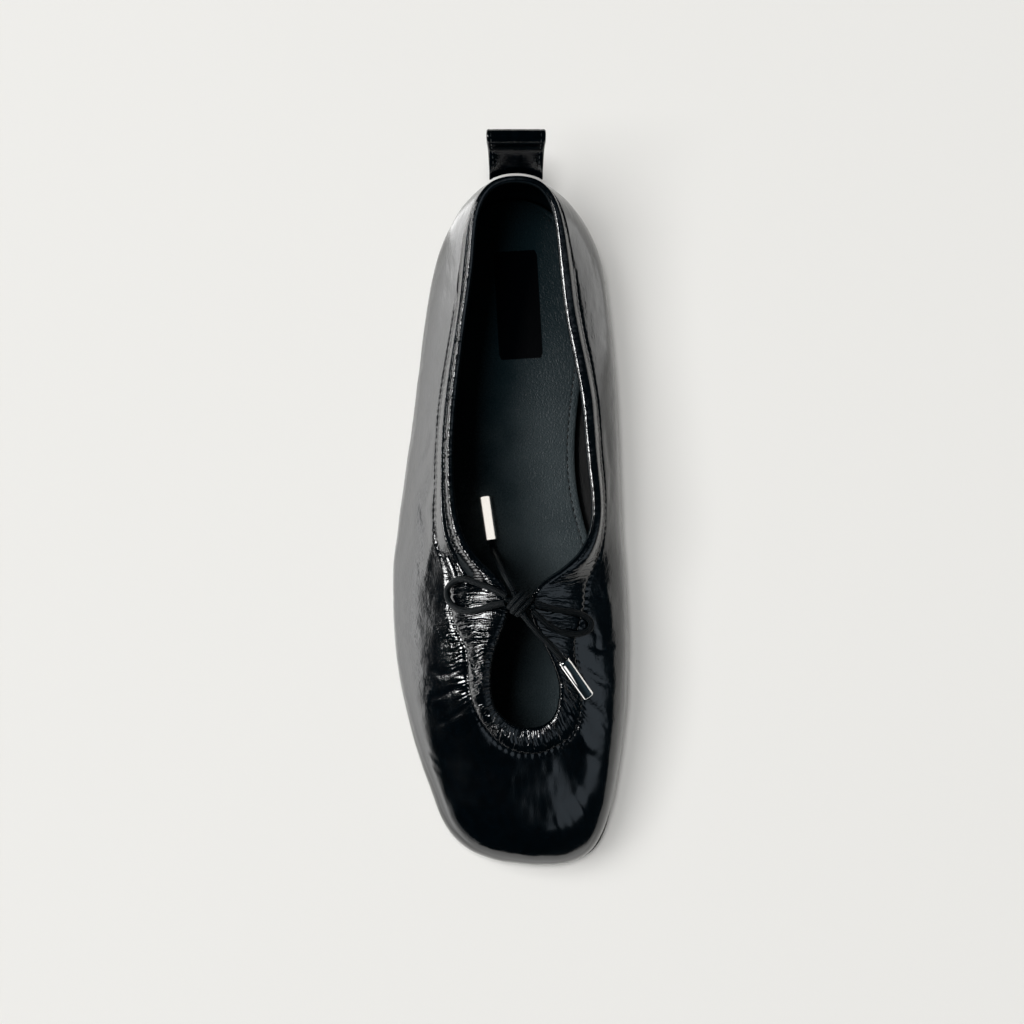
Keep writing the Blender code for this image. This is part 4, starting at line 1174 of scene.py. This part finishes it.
def makeTab():
    s = tab
    grid = upperSkin(np.arange(240) / 240 * wayRound, 3, 24, (1.0, 0.5, 0.0))[0]
    rim = topHeights["back"] + last["rim"] / 2
    sewnTop = topHeights["back"] - s["drop"]
    lean = np.array([math.sin(s["lean"]), math.cos(s["lean"])])
    behind = np.array([math.cos(s["lean"]), -math.sin(s["lean"])])
    near = last["casingRaise"] + s["seat"] + s["thick"] / 2
    far = near + s["thick"] + last["gap"]
    heights = sewnTop - s["sewn"] * np.array([1.0, 0.66, 0.33, 0.0])
    root = np.array([backSurface(grid, 0, sewnTop) + near, rim])
    top = root + lean * s["rise"]
    roll = s["roll"]
    front = [root + lean * s["rise"] * share + behind * s["puff"] for share in (0.22, 0.45, 0.70)]
    turn = [top + roll * (behind * away - lean * below)
            for away, below in ((0, 1), (0.35, 0.3), (1, 0), (1.65, 0.3), (2, 1))]
    back = [root + lean * s["rise"] * share + behind * wide
            for share, wide in ((0.66, 2 * roll), (0.40, 1.72 * roll), (0.18, 1.24 * roll))]
    path = [(near, z) for z in heights] + front + turn + back + [(far, z) for z in heights[::-1]]
    sewn = len(heights)
    share = np.linspace(-1, 1, s["columns"])
    sides = np.sign(share) * (1 - (1 - np.abs(share)) ** 1.6) * s["width"] / 2
    lines = []
    middleBack = backSurface(grid, 0, sewnTop)
    for x in sides:
        points = []
        for index, (depth, z) in enumerate(path):
            if index < sewn or index >= len(path) - sewn:
                points.append((backSurface(grid, x, z) + depth, z))
            else:
                rise = min(1.0, max(0.0, (z - rim) / (s["rise"] * 0.45)))
                sag = backSurface(grid, x, sewnTop) - middleBack
                points.append((depth + sag * (1 - ease(rise)), z))
        lines.append(openSpline(points, s["steps"]))
    rings = []
    faceLine = {1: [], -1: []}
    for step in range(s["steps"]):
        inner = []
        outer = []
        for x, line in zip(sides, lines):
            ahead = line[min(step + 1, s["steps"] - 1)] - line[max(step - 1, 0)]
            ahead /= np.linalg.norm(ahead)
            side = np.array([ahead[1], -ahead[0]])
            edge = s["width"] / 2 - abs(x)
            thick = s["thick"] / 2 * math.sqrt(max(0.08, 1 - max(0, 1 - edge / s["round"]) ** 2))
            thick -= s["groove"] * math.exp(-((edge - s["stitchIn"]) / s["grooveWide"]) ** 2)
            wide = x * (1 + s["flare"] * float(ease((line[step][1] - rim) / s["rise"])))
            inner.append((wide, *(line[step] - side * thick)))
            outer.append((wide, *(line[step] + side * thick)))
        for sign in (1, -1):
            column = int(np.argmin(np.abs(sides - sign * (s["width"] / 2 - s["stitchIn"]))))
            faceLine[sign].append(inner[column])
        rings.append(inner + outer[::-1])
    piece = loft("tab_strap", np.array(rings), ["patent"], False, sharp=60)
    finishPiece(piece, "patent_leather", "pull_tab")
    free = slice(*(int(s["steps"] * share) for share in s["free"]))
    sewLines("tab_stitches", [faceLine[1][free], faceLine[-1][free]], "patent_leather",
             pitch=0.0021, length=0.0015, radius=0.00016)


makeTab()
print("tab made")

# Bow cord: routes given in millimetres from the origin. The tails run on inside the
# knot and inside their metal ends.
cordSizes = {"diameter": 0.0022, "sides": 20, "step": 0.00030}
loopLateral = [
    (-3.2, -124.6, 50.6), (-6.8, -122.7, 49.8), (-10.0, -121.3, 48.6), (-13.2, -119.9, 47.4),
    (-15.9, -118.9, 46.4), (-18.4, -118.2, 45.2), (-20.9, -118.3, 43.9), (-23.2, -119.6, 42.5),
    (-24.6, -121.8, 41.3), (-24.5, -124.4, 41.2), (-23.2, -126.8, 42.0), (-21.0, -128.5, 43.4),
    (-18.5, -129.4, 44.7), (-15.7, -129.5, 46.0), (-12.6, -128.9, 47.4), (-8.5, -127.8, 49.2),
    (-4.0, -126.9, 50.6),
]
loopMedial = [
    (6.9, -127.3, 50.5), (10.5, -128.2, 49.4), (14.9, -129.2, 46.7), (19.4, -129.7, 44.3),
    (22.8, -130.4, 42.3), (25.5, -131.6, 40.7), (26.9, -133.5, 40.0), (26.5, -135.5, 40.2),
    (24.6, -136.9, 41.3), (22.1, -137.6, 42.7), (19.4, -137.6, 44.2), (14.9, -136.5, 46.4),
    (10.5, -134.0, 48.8), (8.0, -131.7, 49.9), (5.8, -129.9, 50.5),
]
tailUpper = [
    (-0.8, -122.6, 50.9), (-2.2, -120.2, 51.1), (-3.6, -117.6, 49.2), (-5.0, -114.6, 43.0),
    (-6.3, -111.4, 34.4), (-7.2, -108.9, 25.4), (-7.9, -107.0, 16.8), (-8.3, -105.6, 11.9),
    (-8.6, -104.4, 10.0), (-8.9, -102.8, 9.75), (-9.13, -101.3, 9.85), (-9.43, -99.2, 9.94),
]
tailLower = [
    (1.6, -130.3, 50.3), (2.9, -131.7, 50.4), (4.6, -133.8, 50.2), (6.4, -135.9, 49.4),
    (8.3, -138.0, 48.4), (10.6, -140.2, 47.6), (12.9, -142.7, 46.8), (15.0, -145.0, 45.9),
    (16.7, -147.1, 44.95), (20.7, -152.7, 42.76),
]
# The knot's wraps lie side by side: place across it, lift, half length and height. The cord's
# own runs cross inside them.
knotShape = {"centre": (1.5, -127.0, 49.5), "turn": math.radians(47), "inside": 1.02,
             "step": 0.0004, "sides": 16,
             "wraps": [(-1.9, 0.0, 3.5, 2.2), (0.0, 0.25, 3.9, 2.5), (1.9, 0.0, 3.5, 2.2)],
             "runs": [[(-4.0, -125.8, 50.2), (-1.5, -126.3, 49.6), (1.5, -127.0, 49.3),
                       (4.5, -127.7, 49.6), (6.9, -128.3, 50.2)],
                      [(-0.8, -122.8, 50.7), (0.2, -125.0, 50.0), (1.5, -127.0, 49.4),
                       (2.4, -129.2, 50.0), (2.9, -131.6, 50.4)]]}
endShape = {"length": 0.0163, "radius": 0.00235, "bore": 0.0015, "cap": 0.0012,
            "chamfer": 0.00045, "groove": 0.00006}
endUpper = ((-9.1, -101.4, 9.85), (-11.5, -85.4, 10.5))
endLower = ((16.7, -147.1, 44.95), (25.3, -159.1, 40.25))


def tubeRings(path, radius, sides):
    # Rings square to a path, carried along it without twisting
    path = np.asarray(path)
    ahead = unit(np.gradient(path, axis=0))
    side = np.cross(ahead[0], [0.3, 0.2, 1.0])
    rings = []
    angles = np.arange(sides) / sides * 2 * math.pi
    for i, point in enumerate(path):
        side = side - ahead[i] * (side @ ahead[i])
        side = side / np.linalg.norm(side)
        rise = np.cross(ahead[i], side)
        wide = radius[i] if np.ndim(radius) else radius
        rings.append(point + wide * (np.cos(angles)[:, None] * side + np.sin(angles)[:, None] * rise))
    return np.array(rings)


def makeCord(name, route, node):
    route = np.array(route) / 1000
    path = openSpline(route, int(metresAlong(route)[-1] / cordSizes["step"]))
    piece = loft(name, tubeRings(path, cordSizes["diameter"] / 2, cordSizes["sides"]), ["cord"], False)
    return finishPiece(piece, "black_cord", node), path, metresAlong(path)[-1]


def knotStrand(shift, lift, long, high):
    # One wrap of the knot: an arch across it, its ends tucked under
    turn = knotShape["turn"]
    way = np.array([math.cos(turn), math.sin(turn), 0])
    side = np.array([-math.sin(turn), math.cos(turn), 0])
    points = []
    for angle in np.linspace(math.radians(-50), math.radians(230), 15):
        points.append(np.array(knotShape["centre"]) + side * shift
                      + way * long * math.cos(angle) + np.array([0, 0, lift + high * math.sin(angle)]))
    return np.array(points) / 1000


def makeKnot():
    parts = [(knotStrand(*wrap), 1.0) for wrap in knotShape["wraps"]]
    parts += [(np.array(run) / 1000, knotShape["inside"]) for run in knotShape["runs"]]
    points = []
    faces = []
    uvs = []
    for line, wide in parts:
        path = openSpline(line, int(metresAlong(line)[-1] / knotShape["step"]))
        radius = cordSizes["diameter"] / 2 * wide
        part = loft("knotPart", tubeRings(path, radius, knotShape["sides"]), ["cord"], False)
        mesh = part.data
        start = len(points)
        points += [tuple(v.co) for v in mesh.vertices]
        faces += [[start + v for v in polygon.vertices] for polygon in mesh.polygons]
        uvs += [tuple(loop.uv) for loop in mesh.uv_layers["surface"].data]
        bpy.data.objects.remove(part)
    piece = newPiece("knot_wraps", np.array(points), faces, ["cord"], np.array(uvs))
    return finishPiece(piece, "black_cord", "bow_knot")


def makeEnd(name, ends, node):
    # A tube open at the cord's end, rounded there and at its closed end, with a fine groove
    s = endShape
    start = np.array(ends[0]) / 1000
    axis = unit(np.array(ends[1]) / 1000 - start)
    side = unit(np.cross(axis, [0, 0, 1.0]))
    rise = np.cross(side, axis)
    closed = s["length"] - s["cap"]
    profile = [(closed, 0.0003), (closed, s["bore"] - 0.0001), (0.0008, s["bore"]),
               (0.0, s["bore"] + 0.00015)]
    for angle in np.linspace(math.pi / 2, 0, 6):
        profile.append((s["chamfer"] / 2 * (1 - math.sin(angle)),
                        s["radius"] - s["chamfer"] / 2 * (1 - math.cos(angle))))
    profile += [(0.0011, s["radius"]), (0.0013, s["radius"] - s["groove"]), (0.0015, s["radius"])]
    for angle in np.linspace(0, math.pi / 2, 7):
        profile.append((s["length"] - s["chamfer"] * (1 - math.sin(angle)),
                        s["radius"] - s["chamfer"] * (1 - math.cos(angle))))
    profile.append((s["length"] + 0.00002, 0.0003))
    turn = np.arange(48)[:, None] / 48 * 2 * math.pi
    rings = [start + axis * along + radius * (np.cos(turn) * side + np.sin(turn) * rise)
             for along, radius in profile]
    piece = loft(name, np.array(rings), ["metal"], False, sharp=35)
    return finishPiece(piece, "polished_metal", node)


knot = makeKnot()
metalUpper = makeEnd("metal_end_upper", endUpper, "aglet_upper")
metalLower = makeEnd("metal_end_lower", endLower, "aglet_lower")
for name, route, node, far, extra in (
        ("bow_loop_outer", loopLateral, "bow_loop_lateral", "knot", [knot]),
        ("bow_loop_inner", loopMedial, "bow_loop_medial", "knot", []),
        ("bow_end_upper", tailUpper, "bow_tail_upper", "fitting", [metalUpper]),
        ("bow_end_lower", tailLower, "bow_tail_lower", "fitting", [metalLower])):
    piece, path, real = makeCord(name, route, node)
print("bow made")

# Floor and studio light. Soft panels only light, the others are only mirrored in glossy
# finishes. tint: a panel's colour. only: the pieces that it reaches. A panel without a face
# turns to the shoe.
up = (0.0, 0.0, 1.0)
down = (0.0, 0.0, -1.0)
right = (1.0, 0.0, 0.0)
shoeMiddle = (0.0, -0.09, 0.02)
lightSizes = {
    "key": {"place": (-2.45, 0.15, 4.55), "size": (3.1, 3.1), "glow": 5.35, "soft": True},
    "top": {"place": (-0.25, 0.0, 5.2), "size": (0.9, 0.9), "glow": 51.5, "soft": True,
            "only": ("floor",)},
    "leftLow": {"place": (-1.5, 0.12, 0.14), "size": (1.3, 0.28), "glow": 4.2, "face": right},
    "leftHigh": {"place": (-1.5, 0.05, 0.40), "size": (0.9, 0.24), "glow": 0.6, "face": right},
    "leftToe": {"place": (-1.1, -1.0, 0.10), "size": (1.2, 0.20), "glow": 0.6,
                "face": (0.74, 0.67, 0.0)},
    "floorNear": {"place": (-0.350, -0.02, 0.002), "size": (0.60, 0.52), "glow": 0.65, "face": up},
    "floorMiddle": {"place": (-0.370, -0.02, 0.003), "size": (0.60, 0.46), "glow": 0.75, "face": up},
    "floorFar": {"place": (-0.400, -0.02, 0.004), "size": (0.60, 0.60), "glow": 0.85, "face": up},
    "floorHeel": {"place": (-0.330, 0.32, 0.002), "size": (0.60, 0.60), "glow": 1.7, "face": up,
                  "only": ("upper_wall",)},
    "floorBack": {"place": (0.26, 0.17, 0.002), "size": (0.38, 0.38), "glow": 0.95, "face": up,
                  "only": ("upper_wall",)},
    "floorToe": {"place": (-0.20, -0.43, 0.002), "size": (0.60, 0.38), "glow": 0.5, "face": up},
    "toeRight": {"place": (0.80, -0.37, 1.00), "size": (1.46, 0.66), "glow": 0.52, "face": down,
                 "tint": (0.86, 1.0, 1.14), "only": ("upper_wall", "upper_casing")},
    "glint": {"place": (-0.75, -0.10, 0.92), "size": (0.34, 0.30), "glow": 30.0},
    "metalTop": {"place": (-0.0103, -0.0934, 0.0165), "size": (0.08, 0.05), "glow": 0.98,
                 "face": down, "tint": (1.0, 0.96, 0.91), "only": ("metal_end_upper",)},
    "metalLeft": {"place": (-0.27, -0.36, 0.40), "size": (0.44, 0.30), "glow": 1.1,
                  "only": ("metal_end_lower",)},
    "metalRight": {"place": (0.37, 0.10, 0.29), "size": (0.12, 0.30), "glow": 0.8,
                   "tint": (1.0, 0.87, 0.70), "only": ("metal_end_lower",)},
}


def addArea(name, size):
    lamp = bpy.data.lights.new(name, "AREA")
    lamp.shape = "RECTANGLE"
    lamp.size, lamp.size_y = size["size"]
    lamp.energy = size["glow"] * math.pi * lamp.size * lamp.size_y
    lamp.color = size.get("tint", (1.0, 1.0, 1.0))
    light = addObject(name, lamp)
    light.location = size["place"]
    facing = Vector(size["face"]) if "face" in size else Vector(shoeMiddle) - light.location
    light.rotation_mode = "QUATERNION"
    light.rotation_quaternion = facing.to_track_quat("-Z", "Y")
    light.visible_camera = False
    light.visible_glossy = "soft" not in size
    light.visible_diffuse = "soft" in size
    if "only" in size:
        group = bpy.data.collections.new(name + "Reach")
        for piece in size["only"]:
            group.objects.link(bpy.data.objects[piece])
        light.light_linking.receiver_collection = group


def addWorld():
    world = bpy.data.worlds.new("studio")
    bpy.context.scene.world = world
    world.use_nodes = True
    graph = Graph(world.node_tree)
    back = world.node_tree.nodes["Background"]
    rays = graph.add("ShaderNodeLightPath")
    glossy = Wire(graph, rays.socket.node.outputs["Is Glossy Ray"])
    place = graph.add("ShaderNodeTexCoord", {}, {}, out=0)
    x, y, z = graph.splitXyz(place)
    dark = x.between(0.0, 0.9) * 0.02 + 0.010
    strength = glossy * dark + (1 - glossy) * 0.04
    tone = graph.blendColour(glossy, (1.0, 0.995, 0.98), (0.60, 0.95, 1.20))
    graph.tree.links.new(tone.socket, back.inputs["Color"])
    graph.tree.links.new(strength.socket, back.inputs["Strength"])


floorHalf = 3.0
corners = np.array([(-1, -1, 0), (1, -1, 0), (1, 1, 0), (-1, 1, 0)]) * floorHalf
floor = newPiece("floor", corners, [[0, 1, 2, 3]], ["floor"])
for name, size in lightSizes.items():
    addArea(name, size)
addWorld()
bpy.context.scene.view_settings.view_transform = "Standard"
print("floor and lights made")
